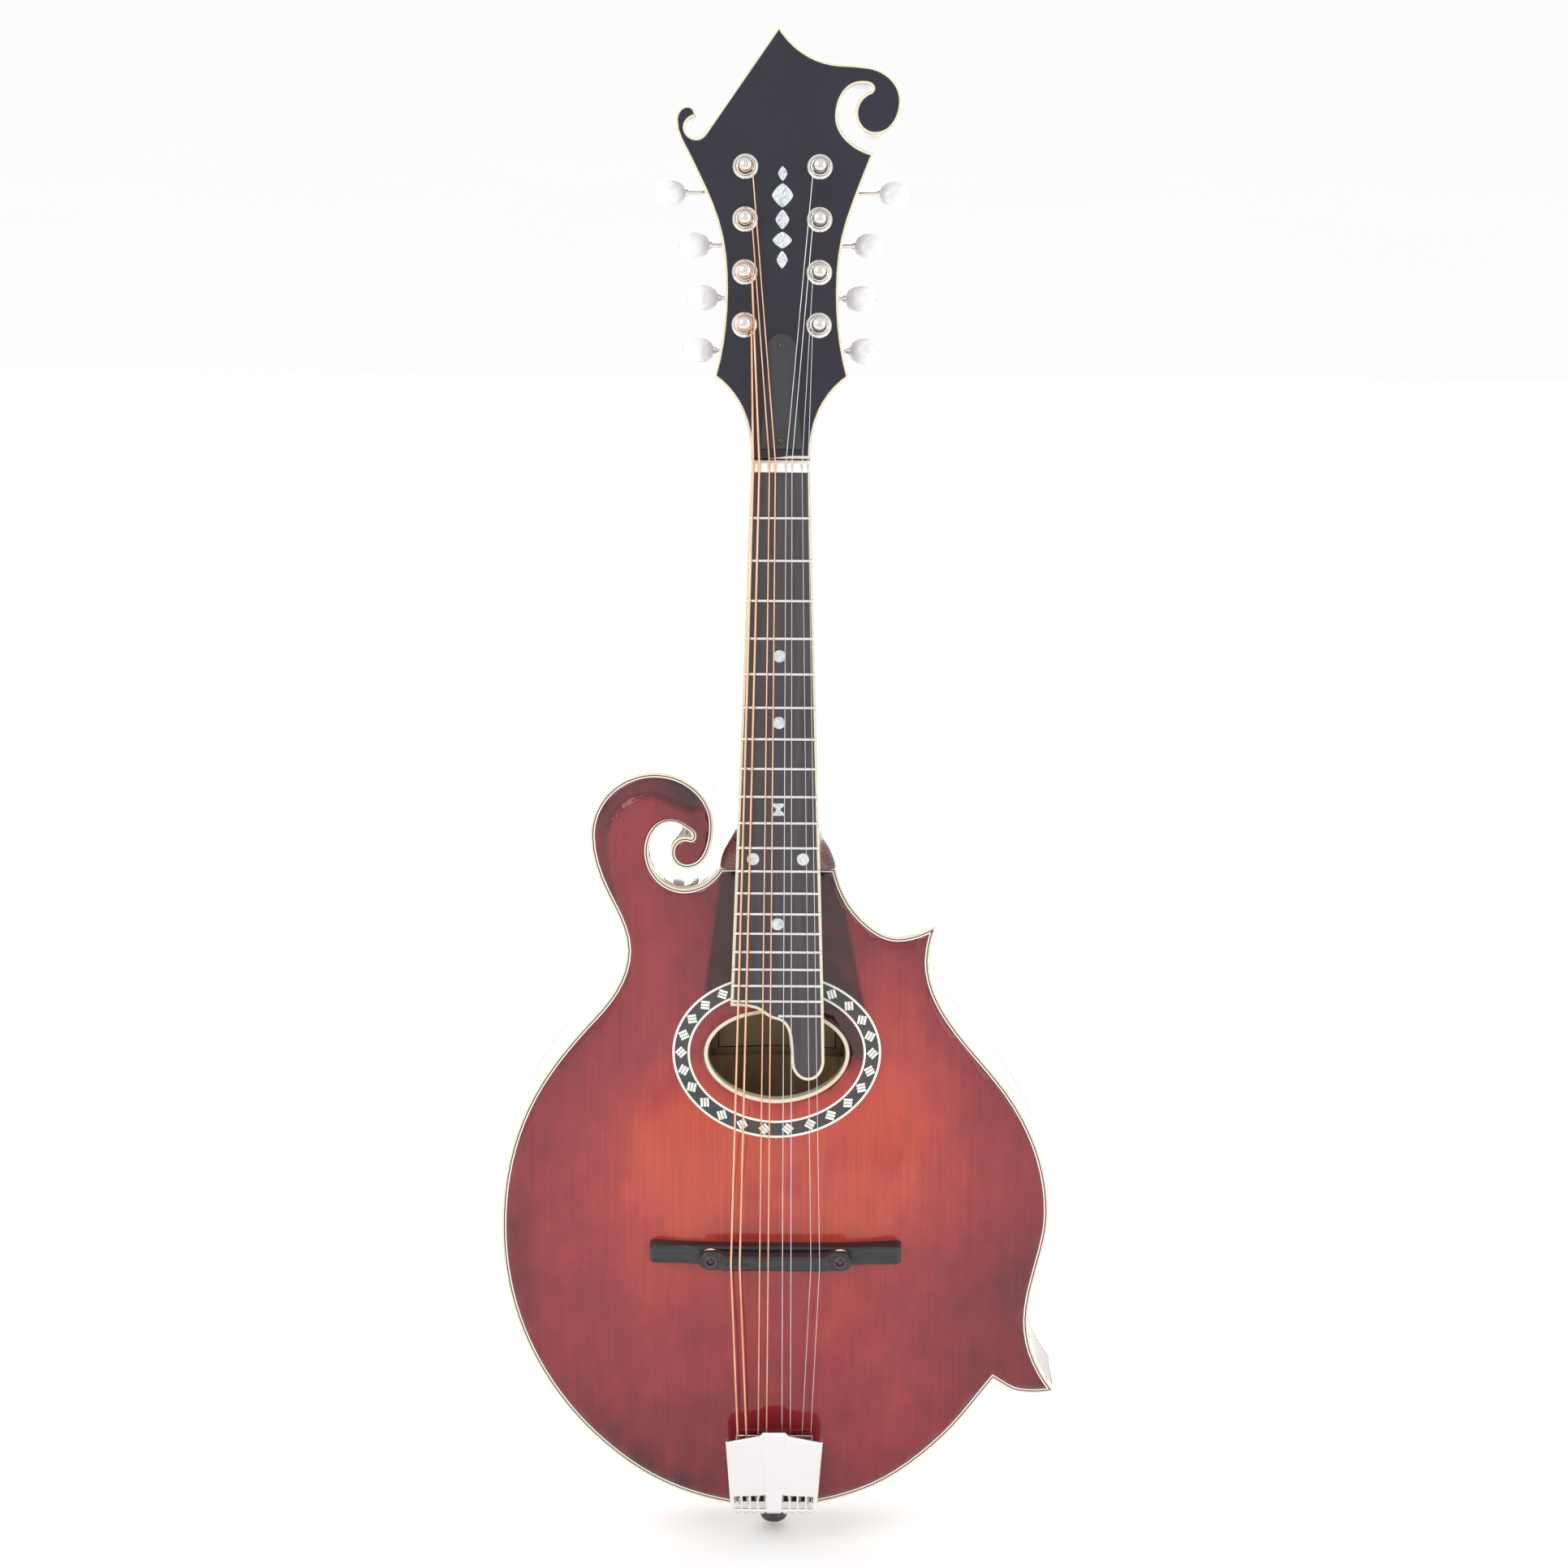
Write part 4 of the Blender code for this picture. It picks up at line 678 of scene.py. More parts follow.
RUST_BROWN = plain_look("dark_metal", (0.06, 0.05, 0.05), (0.14, 0.12, 0.11), 0.35, even(200.0), 0.9)
PAPER = plain_look("blank_label", (0.52, 0.38, 0.21), (0.62, 0.46, 0.27), 0.85, even(70.0), bump=0.03)
FELT = plain_look("black_felt", even(0.010), (0.024, 0.023, 0.023), 0.95, even(900.0), bump=0.2)
WOUND = wound_look()
PEARLOID = pearloid_look()
PEARL = shell_look("pearl_inlay", ((0.25, (0.66, 0.68, 0.58)), (0.5, (0.86, 0.87, 0.78)),
                                   (0.8, (0.95, 0.95, 0.89))),
                   (300.0, 300.0, 120.0))
ABALONE = shell_look("abalone_inlay", ((0.2, (0.16, 0.24, 0.28)), (0.42, (0.44, 0.56, 0.56)),
                                       (0.54, (0.76, 0.80, 0.76)), (0.64, (0.46, 0.38, 0.54)),
                                       (0.9, (0.84, 0.85, 0.84))), (420.0, 300.0, 300.0))


# ---------------------------------------------------------------- body
BINDING = 2.0             # outer edge of the plates inside the body line
STRIPES = (("ivory", 0.0, 0.9, IVORY), ("black", 0.9, 1.45, BLACK_LINE), ("white", 1.45, BINDING, WHITE_LINE))
CREST_LINE, _ = walk(CREST, 6.0, 3.0, closed=False)
CREST_UP = 1.5            # how far the scroll's crest stands over its outer slope
CREST_FADE = 11.0


def crest_height(points):
    """Sharp rise at the crest line that fades into the plate on its inner side."""
    away, side = distances(points, CREST_LINE, closed=False)
    first = CREST_LINE[0]
    last = CREST_LINE[-1]
    out = []
    for p, d, s in zip(points, away, side):
        ends = min(ease((p.y - first.y + 3.0) / 26.0), ease((last.x + 4.0 - p.x) / 14.0))
        inner = s < 0.0
        rise = exp(-(d / CREST_FADE) ** 2) if inner else exp(-(d / 0.9) ** 2)
        near = p.x < -22.0 and p.y > 280.0
        out.append(CREST_UP * rise * ends if near else 0.0)
    return out


def crest_reflection(points):
    """1 on the scroll's outer slope, where a dark reflection is painted into the top's tone, 0 elsewhere."""
    away, side = distances(points, CREST_LINE, closed=False)
    first = CREST_LINE[0]
    out = []
    for p, d, s in zip(points, away, side):
        outer = s >= 0.0 and p.x < -24.0 and p.y > 280.0
        out.append(ease((p.y - first.y + 2.0) / 30.0) * ease(d / 1.2) if outer else 0.0)
    return out


GLOWS = ((0.0, 186.0, 78.0, 46.0, 0.70), (0.0, 140.0, 80.0, 50.0, 0.34), (60.0, 205.0, 46.0, 66.0, 0.26),
         (-58.0, 205.0, 40.0, 60.0, 0.24), (58.0, 262.0, 24.0, 36.0, 0.22), (-62.0, 275.0, 22.0, 34.0, 0.16),
         (-62.0, 335.0, 20.0, 22.0, 0.16), (0.0, 76.0, 100.0, 46.0, 0.22))
BOARD_REFLECTION = ((-1.0, 27.0, 0.14, 256.0), (1.0, 30.0, 0.2, 226.0))   # painted dark reflection of the fingerboard: side, width at z 304, spread, foot


def burst(points, away):
    """Sunburst tone: 1 in the bright middle, 0 at the dark edge."""
    out = []
    for p, d in zip(points, away):
        tone = 0.30
        for x, z, rx, rz, power in GLOWS:
            tone += power * exp(-((p.x - x) / rx) ** 2 - ((p.y - z) / rz) ** 2)
        tone *= 0.74 + 0.26 * ease(d / 22.0)
        out.append(min(tone, 1.0))
    return out


def board_reflection(p):
    """1 in the painted dark reflection of the fingerboard along both its sides, 0 elsewhere."""
    dark = 0.0
    for side, width, spread, foot in BOARD_REFLECTION:
        x = side * p.x
        edge = width + spread * (304.0 - p.y)
        dark = max(dark, ease((edge - x) / 1.6 + 0.5) * ease(x / 4.0) * ease((p.y - foot) / 14.0))
    return dark


def carved(name, cell, side, full, start, hole, mat, crest):
    """Arched plate on a fine grid, thickened to the inside of the body."""
    loop = inset(BODY, BINDING)
    coords = list(loop)
    edges = [(i, (i + 1) % len(loop)) for i in range(len(loop))]
    if hole:
        first = len(coords)
        coords += hole
        edges += [(first + i, first + (i + 1) % len(hole)) for i in range(len(hole))]
    grid = []
    row_h = cell * sqrt(3.0) / 2.0
    for row in range(int(360.0 / row_h) + 1):
        z = TAIL_Z + row * row_h
        for col in range(-int(132.0 / cell), int(132.0 / cell) + 1):
            grid.append(Vector(((col + 0.5 * (row % 2)) * cell, z)))
    if crest:
        fine = 1.6
        for row in range(int(84.0 / fine)):
            for col in range(int(64.0 / fine)):
                grid.append(Vector((-86.0 + col * fine, 284.0 + (row + 0.5 * (col % 2)) * fine)))
    clear = distances(grid, loop)[0]
    for p, d in zip(grid, clear):
        if d < 0.9 or not inside(p, loop):
            continue
        if hole and (inside(p, hole) or min((p - q).length for q in hole) < 0.5 * cell):
            continue
        coords.append(p)
    if crest:
        for i in range(len(CREST_LINE) - 1):
            a, b = CREST_LINE[i], CREST_LINE[i + 1]
            n = Vector((a.y - b.y, b.x - a.x)).normalized()
            for off in (-0.25, 0.35, 0.9):
                coords.append(a + n * off)
        # finer points along the edges of the painted dark reflection beside the fingerboard
        for side_x, width, spread, foot in BOARD_REFLECTION:
            for k in range(int((304.0 - foot) / 1.5)):
                z = foot + 1.5 * k
                for off in (-0.9, -0.3, 0.3, 0.9):
                    spot = Vector((side_x * (width + spread * (304.0 - z) + off), z))
                    if not any((spot - q).length < 1.5 for q in hole):
                        coords.append(spot)
    verts, _, tris, *_ = delaunay_2d_cdt(coords, edges, [], 0, 1e-5)
    mids = [sum((verts[i] for i in tri), Vector((0.0, 0.0))) / 3.0 for tri in tris]
    kept = [tuple(t) for t, m in zip(tris, mids) if inside(m, loop) and not (hole and inside(m, hole))]
    away = edge_distances(verts)
    heights = [arch_from(d, p.y, full, start) for d, p in zip(away, verts)]
    if crest:
        heights = [h + c for h, c in zip(heights, crest_height(verts))]
    mesh = bpy.data.meshes.new(name)
    base = FRONT if side < 0 else BACK
    mesh.from_pydata([Vector((p.x, base + side * h, p.y)) * MM for p, h in zip(verts, heights)], [], kept)
    # burst holds the sunburst stain, darkened by painted dark reflections on the scroll's outer slope and beside
    # the fingerboard
    tone = mesh.attributes.new("burst", "FLOAT", "POINT")
    crest_reflections = crest_reflection(verts) if crest else [0.0] * len(verts)
    tone.data.foreach_set("value", [t * (1.0 - max(0.72 * s, board_reflection(p) if crest else 0.0))
                                    for t, s, p in zip(burst(verts, away), crest_reflections, verts)])
    bm = bmesh.new()
    bm.from_mesh(mesh)
    bmesh.ops.delete(bm, geom=[v for v in bm.verts if not v.link_faces], context="VERTS")
    bmesh.ops.recalc_face_normals(bm, faces=bm.faces)
    bm.faces.ensure_lookup_table()
    if sum(f.normal.y for f in bm.faces) * side < 0:
        bmesh.ops.reverse_faces(bm, faces=bm.faces)
    bm.to_mesh(mesh)
    bm.free()
    mesh.shade_smooth()
    mesh.materials.append(mat)
    obj = bpy.data.objects.new(name, mesh)
    bpy.context.scene.collection.objects.link(obj)
    solid = thicken(obj, PLATE_T - 0.1)
    solid.material_offset = 1
    solid.material_offset_rim = 1
    mesh.materials.append(BARE)
    return obj


HOLE_CUT = ellipse(HOLE_A + 1.7, HOLE_B + 1.7, 96)
keep(carved("carved_top", 4.5, -1, TOP_ARCH, TOP_START, HOLE_CUT, TOP_WOOD, True),
     "body", "stained_spruce", "top_plate")
keep(carved("carved_back", 6.0, 1, BACK_ARCH, BACK_START, None, BACK_WOOD, False),
     "body", "stained_maple", "back_plate")


def swept(shape, loop_at, profile):
    """Closed moulding: the profile of inset and height carried along the body line."""
    lines = [(loop_at(d), y) for d, y in profile]
    rings = [[(line[i].x, y, line[i].y) for line, y in lines] for i in range(len(lines[0][0]))]
    return shape.skin(rings, loop=True)


for level, base, way, node in (("front", FRONT, 1, "top_binding"), ("back", BACK, -1, "back_binding")):
    for tag, near, far, mat in STRIPES:
        low = base + way * PLATE_T
        if tag == "ivory":
            profile = ((near, low), (near, base + way * 0.45), (near + 0.14, base + way * 0.14),
                       (near + 0.45, base), (far, base), (far, low))
        else:
            profile = ((near, low), (near, base), (far, base), (far, low))
        obj = swept(Shape(), lambda d: inset(BODY, d), profile).make("binding_%s_%s" % (level, tag), mat)
        keep(obj, "body", "ivory_binding", *([node] if tag == "ivory" else []))


RIB_EDGE = 0.08           # ribs stand this far inside the body line
for name, start, end, nodes in (
        ("side_bass", 0, SCROLL_END, ["rib_bass"]),
        ("side_cutaway", JOINT_TREBLE, UPPER_POINT, ["rib_cutaway"]),
        ("side_waist", UPPER_POINT, LOWER_POINT, ["rib_waist"]), ("side_tail", NOTCH, 0, ["rib_tail"]),
        ("side_slot", SCROLL_END, JOINT_BASS, []), ("side_point", LOWER_POINT, NOTCH, [])):
    outer = inset(BODY, RIB_EDGE)
    inner = inset(BODY, RIB_T)
    y = FRONT + PLATE_T + 0.05
    rings = [[(outer[i].x, y, outer[i].y), (outer[i].x, -y, outer[i].y),
              (inner[i].x, -y, inner[i].y), (inner[i].x, y, inner[i].y)] for i in stretch(start, end)]
    keep(Shape().skin(rings).make(name, RIB_WOOD), "body", "stained_maple", *nodes)

for place, mark in (("upper", UPPER_POINT), ("lower", LOWER_POINT)):
    i = stretch(mark, mark)[0]
    tip = BODY[i]
    arms = [(BODY[i - 3] - tip).normalized(), (BODY[(i + 3) % len(BODY)] - tip).normalized()]
    line = [tip + (arms[0] + arms[1]).normalized() * -0.35, tip + arms[0] * 1.5, tip + arms[1] * 1.5]
    obj = Shape().plate(line, FRONT + PLATE_T, -FRONT - PLATE_T).make("point_cap_" + place, IVORY, soft=0.15)
    keep(obj, "body", "ivory_binding")

# seams of the neck joint beside the board
for sign in (-1, 1):
    line = [Vector((sign * 18.0, JOINT_Z - 0.15)), Vector((sign * 25.6, JOINT_Z - 0.15)),
            Vector((sign * 25.6, JOINT_Z + 0.75)), Vector((sign * 18.0, JOINT_Z + 0.75))]
    tag = "bass" if sign < 0 else "treble"
    seam = Shape().plate(line, FRONT - 1.4, BACK - 1.0)
    keep(seam.make("neck_seam_" + tag, WHITE_LINE, soft=0.1), "body", "ivory_binding")


def on_top(shape, outer, inner, up, down):
    """Ring that follows the arched top between two lines."""
    yo = top_ys(outer)
    yi = top_ys(inner)
    rings = [[(o.x, a - up, o.y), (o.x, a + down, o.y), (i.x, b + down, i.y), (i.x, b - up, i.y)]
             for o, i, a, b in zip(outer, inner, yo, yi)]
    return shape.skin(rings, loop=True)


def oval(dist, count=120):
    return ellipse(ROSE_A - dist, ROSE_B - dist, count)


ROSE_RIM = 1.0            # white line on each side of the black ring
for name, near, far, up, mat, nodes in (
        ("rosette_field", 0.95, ROSE_W - 0.95, 0.05, BLACK_LINE, ["rosette"]),
        ("rosette_rim_outer", 0.0, ROSE_RIM, 0.07, WHITE_LINE, []),
        ("rosette_rim_inner", ROSE_W - ROSE_RIM, ROSE_W, 0.07, WHITE_LINE, [])):
    keep(on_top(Shape(), oval(near), oval(far), up, 0.8).make(name, mat), "body", "rosette_black", *nodes)
keep(on_top(Shape(), ellipse(HOLE_A + 1.8, HOLE_B + 1.8, 96), ellipse(HOLE_A, HOLE_B, 96), 0.1, PLATE_T)
     .make("soundhole_rim", IVORY, soft=0.3), "body", "ivory_binding", "soundhole_binding")

SQUARES = 26
TILE = 3.9
tiles = Shape()
for k in range(SQUARES):
    t = tau * (k + 0.5) / SQUARES - pi / 2
    a = ROSE_A - ROSE_W / 2
    b = ROSE_B - ROSE_W / 2
    x = a * cos(t)
    z = HOLE_Z + b * sin(t)
    turn = atan2(b * cos(t), -a * sin(t)) + pi / 4
    slope = (top_y(x, z + 1.0) - top_y(x, z - 1.0)) / 2.0
    lean = (top_y(x + 1.0, z) - top_y(x - 1.0, z)) / 2.0
    for strip in range(3):
        near = -TILE / 2 + strip * (TILE + 0.2) / 3.0
        far = near + TILE / 3.0 - 0.26
        ring = []
        for p, q in ((near, -TILE / 2), (far, -TILE / 2), (far, TILE / 2), (near, TILE / 2)):
            dx = p * cos(turn) - q * sin(turn)
            dz = p * sin(turn) + q * cos(turn)
            ring.append(Vector((x + dx, top_y(x, z) + slope * dz + lean * dx, z + dz)))
        tiles.skin([[p + Vector((0.0, d, 0.0)) for p in ring] for d in (-0.12, 0.5)])
keep(tiles.make("rosette_tiles", PEARL), "body", "rosette_black")


# paper label on the inside of the back, left blank
def label(name, half_x, z0, z1, lift, mat):
    cells = 8
    pts = [Vector((-half_x + 2 * half_x * i / cells, z0 + (z1 - z0) * j / cells))
           for j in range(cells + 1) for i in range(cells + 1)]
    hs = arches(pts, BACK_ARCH, BACK_START)
    verts = [(p.x, BACK + h - PLATE_T - lift, p.y) for p, h in zip(pts, hs)]
    w = cells + 1
    faces = [(j * w + i, j * w + i + 1, (j + 1) * w + i + 1, (j + 1) * w + i)
             for j in range(cells) for i in range(cells)]
    obj = Shape().add(verts, faces).make(name, mat)
    thicken(obj, 0.2)
    return keep(obj, "body", "bare_wood")


label("inside_label", 30.0, 219.0, 272.0, 0.5, PAPER)
label_rule = Shape()
RULE_PARTS = 8
for x0, z0, x1, z1 in ((-27.0, 223.0, 27.0, 223.5), (-27.0, 268.0, 27.0, 268.5),
                       (-27.0, 223.0, -26.5, 268.5), (26.5, 223.0, 27.0, 268.5)):
    long_x, long_z = (x1 - x0, 0.0) if x1 - x0 > z1 - z0 else (0.0, z1 - z0)
    for k in range(RULE_PARTS):
        a = Vector((x0 + long_x * k / RULE_PARTS, z0 + long_z * k / RULE_PARTS))
        b = Vector((x0 + long_x * (k + 1) / RULE_PARTS if long_x else x1,
                    z0 + long_z * (k + 1) / RULE_PARTS if long_z else z1))
        corners = [a, Vector((b.x, a.y)), b, Vector((a.x, b.y))]
        ys = [BACK + h - PLATE_T - 0.85 for h in arches(corners, BACK_ARCH, BACK_START)]
        label_rule.skin([[(c.x, y + d, c.y) for c, y in zip(corners, ys)] for d in (0.0, 0.2)])
keep(label_rule.make("inside_label_rule", RUST_BROWN), "body", "bare_wood")

# inner pieces that are seen as the CAD has them
INNER = {"point_block_lower": RIB_WOOD, "head_block": RIB_WOOD, "truss_rod": RUST_BROWN}
for name in ("tone_bar", "lining_top_bass", "lining_top_treble", "lining_back_bass", "lining_back_treble",
             "tail_block", "point_block_upper", *INNER):
    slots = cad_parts[name].data.materials
    slots.clear()
    slots.append(INNER.get(name, BARE))


# ---------------------------------------------------------------- neck
def through(values, t):
    """Smooth curve through evenly spaced values, t from 0 to 1."""
    f = t * (len(values) - 1)
    i = min(int(f), len(values) - 2)
    f -= i
    p = [values[max(0, min(len(values) - 1, i + k))] for k in (-1, 0, 1, 2)]
    return p[1] + 0.5 * f * (p[2] - p[0] + f * (2 * p[0] - 5 * p[1] + 4 * p[2] - p[3]
                                                + f * (3 * (p[1] - p[2]) + p[3] - p[0])))


def neck_ring(z):
    y0 = board_y(z) + NECK_TOP - 0.2
    thick = NECK_T_NUT + (NECK_T_HEEL - NECK_T_NUT) * (NUT_Z - z) / (NUT_Z - HEEL_TOP_Z)
    shaft_back = y0 + min(thick, NECK_T_HEEL)
    drop = max(0.0, min(1.0, (HEEL_TOP_Z - z) / 36.0))
    fall = 1.0 - sqrt(max(0.0, 1.0 - drop ** 2.2))
    back = shaft_back + (HEEL_BACK - shaft_back) * fall
    blend = ease((346.0 - z) / (346.0 - JOINT_Z))
    half = half_board(NUT_Z - z) - 0.05
    side = []
    steps = 20
    for k in range(steps + 1):
        v = k / steps
        a = v * pi / 2.0
        shaft = Vector((half * max(0.0, cos(a)) ** 0.85, y0 + (back - y0) * sin(a) ** 0.9))
        heel = Vector((through((half, 25.4, 24.6, 21.5, 17.0, 12.5, 0.0), v),
                       y0 + (back - y0) * through((0.0, 0.09, 0.3, 0.55, 0.8, 1.0, 1.0), v)))
        side.append(shaft.lerp(heel, blend))
    return [(-p.x, p.y, z) for p in side] + [(p.x, p.y, z) for p in side[-2::-1]]


levels = [NUT_Z + 8.0 - 8.0 * k for k in range(17)]
levels += [levels[-1] - 2.0 * (k + 1) for k in range(int((levels[-1] - JOINT_Z) / 2.0))]
neck = Shape().skin([neck_ring(z) for z in levels] + [neck_ring(JOINT_Z + GAP)])
rings = []
for z in (JOINT_Z + 8.0, 318.0, 300.0, 281.0, 263.0):
    y0 = board_y(z) + NECK_TOP - 0.1
    y1 = FRONT - 0.1 if z > 320.0 else top_y(0.0, z) + 0.4
    half = half_board(NUT_Z - z) - 2.0
    rings.append([(-half, y0, z), (half, y0, z), (half - 1.0, y1, z), (-half + 1.0, y1, z)])
neck.skin(rings)
keep(neck.make("neck_shaft", NECK_WOOD, smooth=50.0), "body", "stained_maple", "neck")
HEAD_BACK = PLATE_HEAD_T + GAP + HEAD_WOOD_T
core = Shape().plate(inset(HEAD, 0.15), PLATE_HEAD_T + 0.02, HEAD_BACK)
keep(core.make("head_core", NECK_WOOD, HEADF, soft=0.9), "body", "stained_maple")

# ---------------------------------------------------------------- headstock face
HEAD_LINE_W = 0.35        # black line inside the headstock's binding
veneer = inset(HEAD, HEAD_BAND + HEAD_LINE_W)
veneer[0].y = 0.1
veneer[-1].y = 0.1
keep(Shape().plate(veneer, 0.0, PLATE_HEAD_T).make("head_veneer", LACQUER, HEADF),
     "body", "headplate_black", "headplate")
for near, far, mat, tag in ((0.0, HEAD_BAND, IVORY, "ivory"),
                            (HEAD_BAND, HEAD_BAND + HEAD_LINE_W, BLACK_LINE, "black")):
    outer = inset(HEAD, near)
    inner = inset(HEAD, far)
    rings = [[(o.x, PLATE_HEAD_T, o.y), (o.x, 0.3 if tag == "ivory" else 0.0, o.y),
              (o.x * 0.85 + i.x * 0.15, 0.0, o.y * 0.85 + i.y * 0.15), (i.x, 0.0, i.y),
              (i.x, PLATE_HEAD_T, i.y)]
             for o, i in zip(outer, inner)]
    for end in (0, -1):
        rings[end] = [(x, y, 0.1) for x, y, z in rings[end]]
    obj = Shape().skin(rings).make("head_edge_" + tag, mat, HEADF)
    keep(obj, "body", "ivory_binding", *(["head_binding"] if tag == "ivory" else []))

COVER_KNOTS = ((-9.3, 4.0, 90), (-6.9, 30.0, 88), (-6.6, 47.0, 90), (0.0, 54.4, 0), (6.6, 47.0, -90),
               (6.9, 30.0, -88), (9.3, 4.0, -90, 180))
cover, _ = walk(((-9.3, 4.0, 180, 86),) + COVER_KNOTS[1:], 8.0, 12.0)
keep(Shape().plate(cover, -GAP - 1.5, -0.02).make("bell_cover", SATIN_BLACK, HEADF, soft=0.4),
     "body", "headplate_black", "truss_cover")


def screw_head(shape, slot_shade, move, radius):
    """Small domed screw with a cross slot drawn as two black bars, a painted shade for the slot's recess; local Z
    points out of it.
    """
    shape.lathe([(0.01, 0.42 * radius)] + [(radius * sin(a), 0.42 * radius * cos(a))
                 for a in (0.3, 0.6, 0.9, 1.2, 1.5)] + [(radius, -0.2)], 20, move)
    for turn in (0.0, pi / 2):
        slot_shade.block((-0.62 * radius, -0.11 * radius, 0.30 * radius),
                         (0.62 * radius, 0.11 * radius, 0.45 * radius), move @ Matrix.Rotation(turn, 4, "Z"))


heads = Shape()
slots = Shape()
for u in (7.5, 49.0):
    screw_head(heads, slots, at(0.0, -GAP - 1.45, u) @ FACING, 1.6)
keep(heads.make("cover_screws", RUST_BROWN, HEADF), "body", "headplate_black")
# black bars in the screw heads: painted shade for the slots' recesses
keep(slots.make("cover_screw_slot_shade", BLACK_LINE, HEADF), "body", "headplate_black")

# plain stacked ornament of pearl lozenges between the posts
ornament = Shape()
for u, half_w, half_h in ((124.0, 2.0, 3.2), (114.5, 4.6, 5.2), (104.0, 3.0, 4.2), (95.0, 4.2, 3.6),
                          (86.5, 2.4, 3.8)):
    line = [Vector((half_w * copysign(abs(cos(a)) ** 1.5, cos(a)),
                    u + half_h * copysign(abs(sin(a)) ** 1.5, sin(a))))
            for a in [-tau * k / 32 for k in range(32)]]
    ornament.plate(line, -0.06, 0.5)
keep(ornament.make("head_ornament", ABALONE, HEADF), "body", "headplate_black")

# ---------------------------------------------------------------- fingerboard
TONGUE_LINE, _ = walk(TONGUE, 8.0, 6.0, closed=False)


def board_line(shrink):
    """Board edge from the nut down the bass side, round the tongue and up the treble side."""
    pts = [Vector((-half_board(0.0), 0.0)), Vector((-half_board(TONGUE[0][1]), -TONGUE[0][1]))]
    pts += [Vector((p.x, -p.y)) for p in TONGUE_LINE[1:]]
    pts += [Vector((half_board(240.0), -240.0)), Vector((half_board(0.0), 0.0))]
    line = inset(pts, -shrink)
    line[0] = pts[0] + Vector((shrink, 0.0))
    line[-1] = pts[-1] - Vector((shrink, 0.0))
    return line


EDGE = 1.3
keep(Shape().plate(board_line(EDGE), 0.0, BOARD_T).make("board_face", EBONY, BOARD),
     "body", "ebony", "fretboard")
rings = [[(o.x, BOARD_T, o.y), (o.x, 0.25, o.y), (o.x * 0.8 + i.x * 0.2, 0.0, o.y * 0.8 + i.y * 0.2),
          (i.x, 0.0, i.y), (i.x, BOARD_T, i.y)] for o, i in zip(board_line(0.0), board_line(EDGE))]
keep(Shape().skin(rings).make("board_edge", IVORY, BOARD), "body", "ivory_binding", "fretboard_binding")


def fret_place(n):
    return SCALE * (1.0 - 2.0 ** (-n / 12.0))


FRET_UP = 1.05
FRET_HALF = 0.75
frets = Shape()
for n in range(1, FRETS + 1):
    s = fret_place(n)
    half = half_board(s) - 0.1
    left = -half if n < FRETS else 0.6
    rings = []
    for x, low in ((left, 0.55), (left + 0.25, 0.85), (left + 0.8, 1.0), (half - 0.8, 1.0),
                   (half - 0.25, 0.85), (half, 0.55)):
        crown = [(x, -FRET_UP * low * sin(pi * k / 8), -s - FRET_HALF * cos(pi * k / 8)) for k in range(1, 8)]
        rings.append([(x, 0.1, -s - FRET_HALF)] + crown + [(x, 0.1, -s + FRET_HALF)])
    frets.skin(rings)
keep(frets.make("fret_wires", FRET, BOARD), "body", "ebony")

dots = Shape()


def inlay(line, depth=0.08):
    dots.plate(line, -depth, 0.4)


def round_line(x, s, radius):
    return [Vector((x + radius * cos(a), -s + radius * sin(a)))
            for a in [-tau * k / 28 for k in range(28)]]


for x, s in ((0.0, 80.5), (0.0, 110.0), (-11.0, 170.8), (11.0, 170.8), (0.0, 200.0)):
    inlay(round_line(x, s, 2.7))
s = 148.6
HOURGLASS = ((-2.6, 2.7), (2.6, 2.7), (2.2, 1.4), (1.0, 0.4), (1.0, -0.4), (2.2, -1.4), (2.6, -2.7),
             (-2.6, -2.7), (-2.2, -1.4), (-1.0, -0.4), (-1.0, 0.4), (-2.2, 1.4))
inlay([Vector((x, -s + z)) for x, z in HOURGLASS])
keep(dots.make("board_inlays", ABALONE, BOARD), "body", "ebony")

NUT_LINE = ((NECK_TOP - 0.7, 0.15), (-NUT_TOP + 0.5, 0.15), (-NUT_TOP - 0.35, 0.6), (-NUT_TOP - 0.5, 1.6),
            (-NUT_TOP - 0.15, 4.0), (0.6, NUT_L + 0.1), (NECK_TOP - 0.7, NUT_L + 0.1))
nut = Shape().skin([[(x, y, z) for y, z in NUT_LINE] for x in (-NUT_HALF, NUT_HALF)])
nut = nut.make("nut_bone", BONE, BOARD, soft=0.35)
keep(nut, "body", "bone", "nut")
cuts = Shape()
for name, radius, nut_x, _, _, _ in STRINGS:
    over = -NUT_TOP - GAP - radius
    line = [(nut_x, over - 0.15, -3.0), (nut_x, over - 0.15, 0.0), (nut_x, over + 0.9, 9.0)]
    cuts.tube(line, radius + 0.04, 10)
cut_out(nut, cuts.make("nut_slots", BLACK_LINE, BOARD))

# ---------------------------------------------------------------- tuners
PLATE_ROUND = 4.0         # corner of a tuner plate
PLATE_PAST_WORM = 7.0
PLATE_PAST_POST = 9.0
SCREW_IN = 3.2            # end screws of a plate from its ends
LUG_T = 2.0
LUG_R = 2.9
LUG_FOOT = 3.2
LUG_GAP = 0.35
POST_WAIST = POST_R * 0.86
TEETH = 16
TOOTH = 1.0
BUTTON_SCREW_R = 1.25
BUSHING = ((3.25, 0.0), (5.6, 0.0), (5.6, 0.35), (5.2, 0.75), (4.4, 1.15), (4.1, 1.9), (3.7, 2.15),
           (3.25, 2.1))


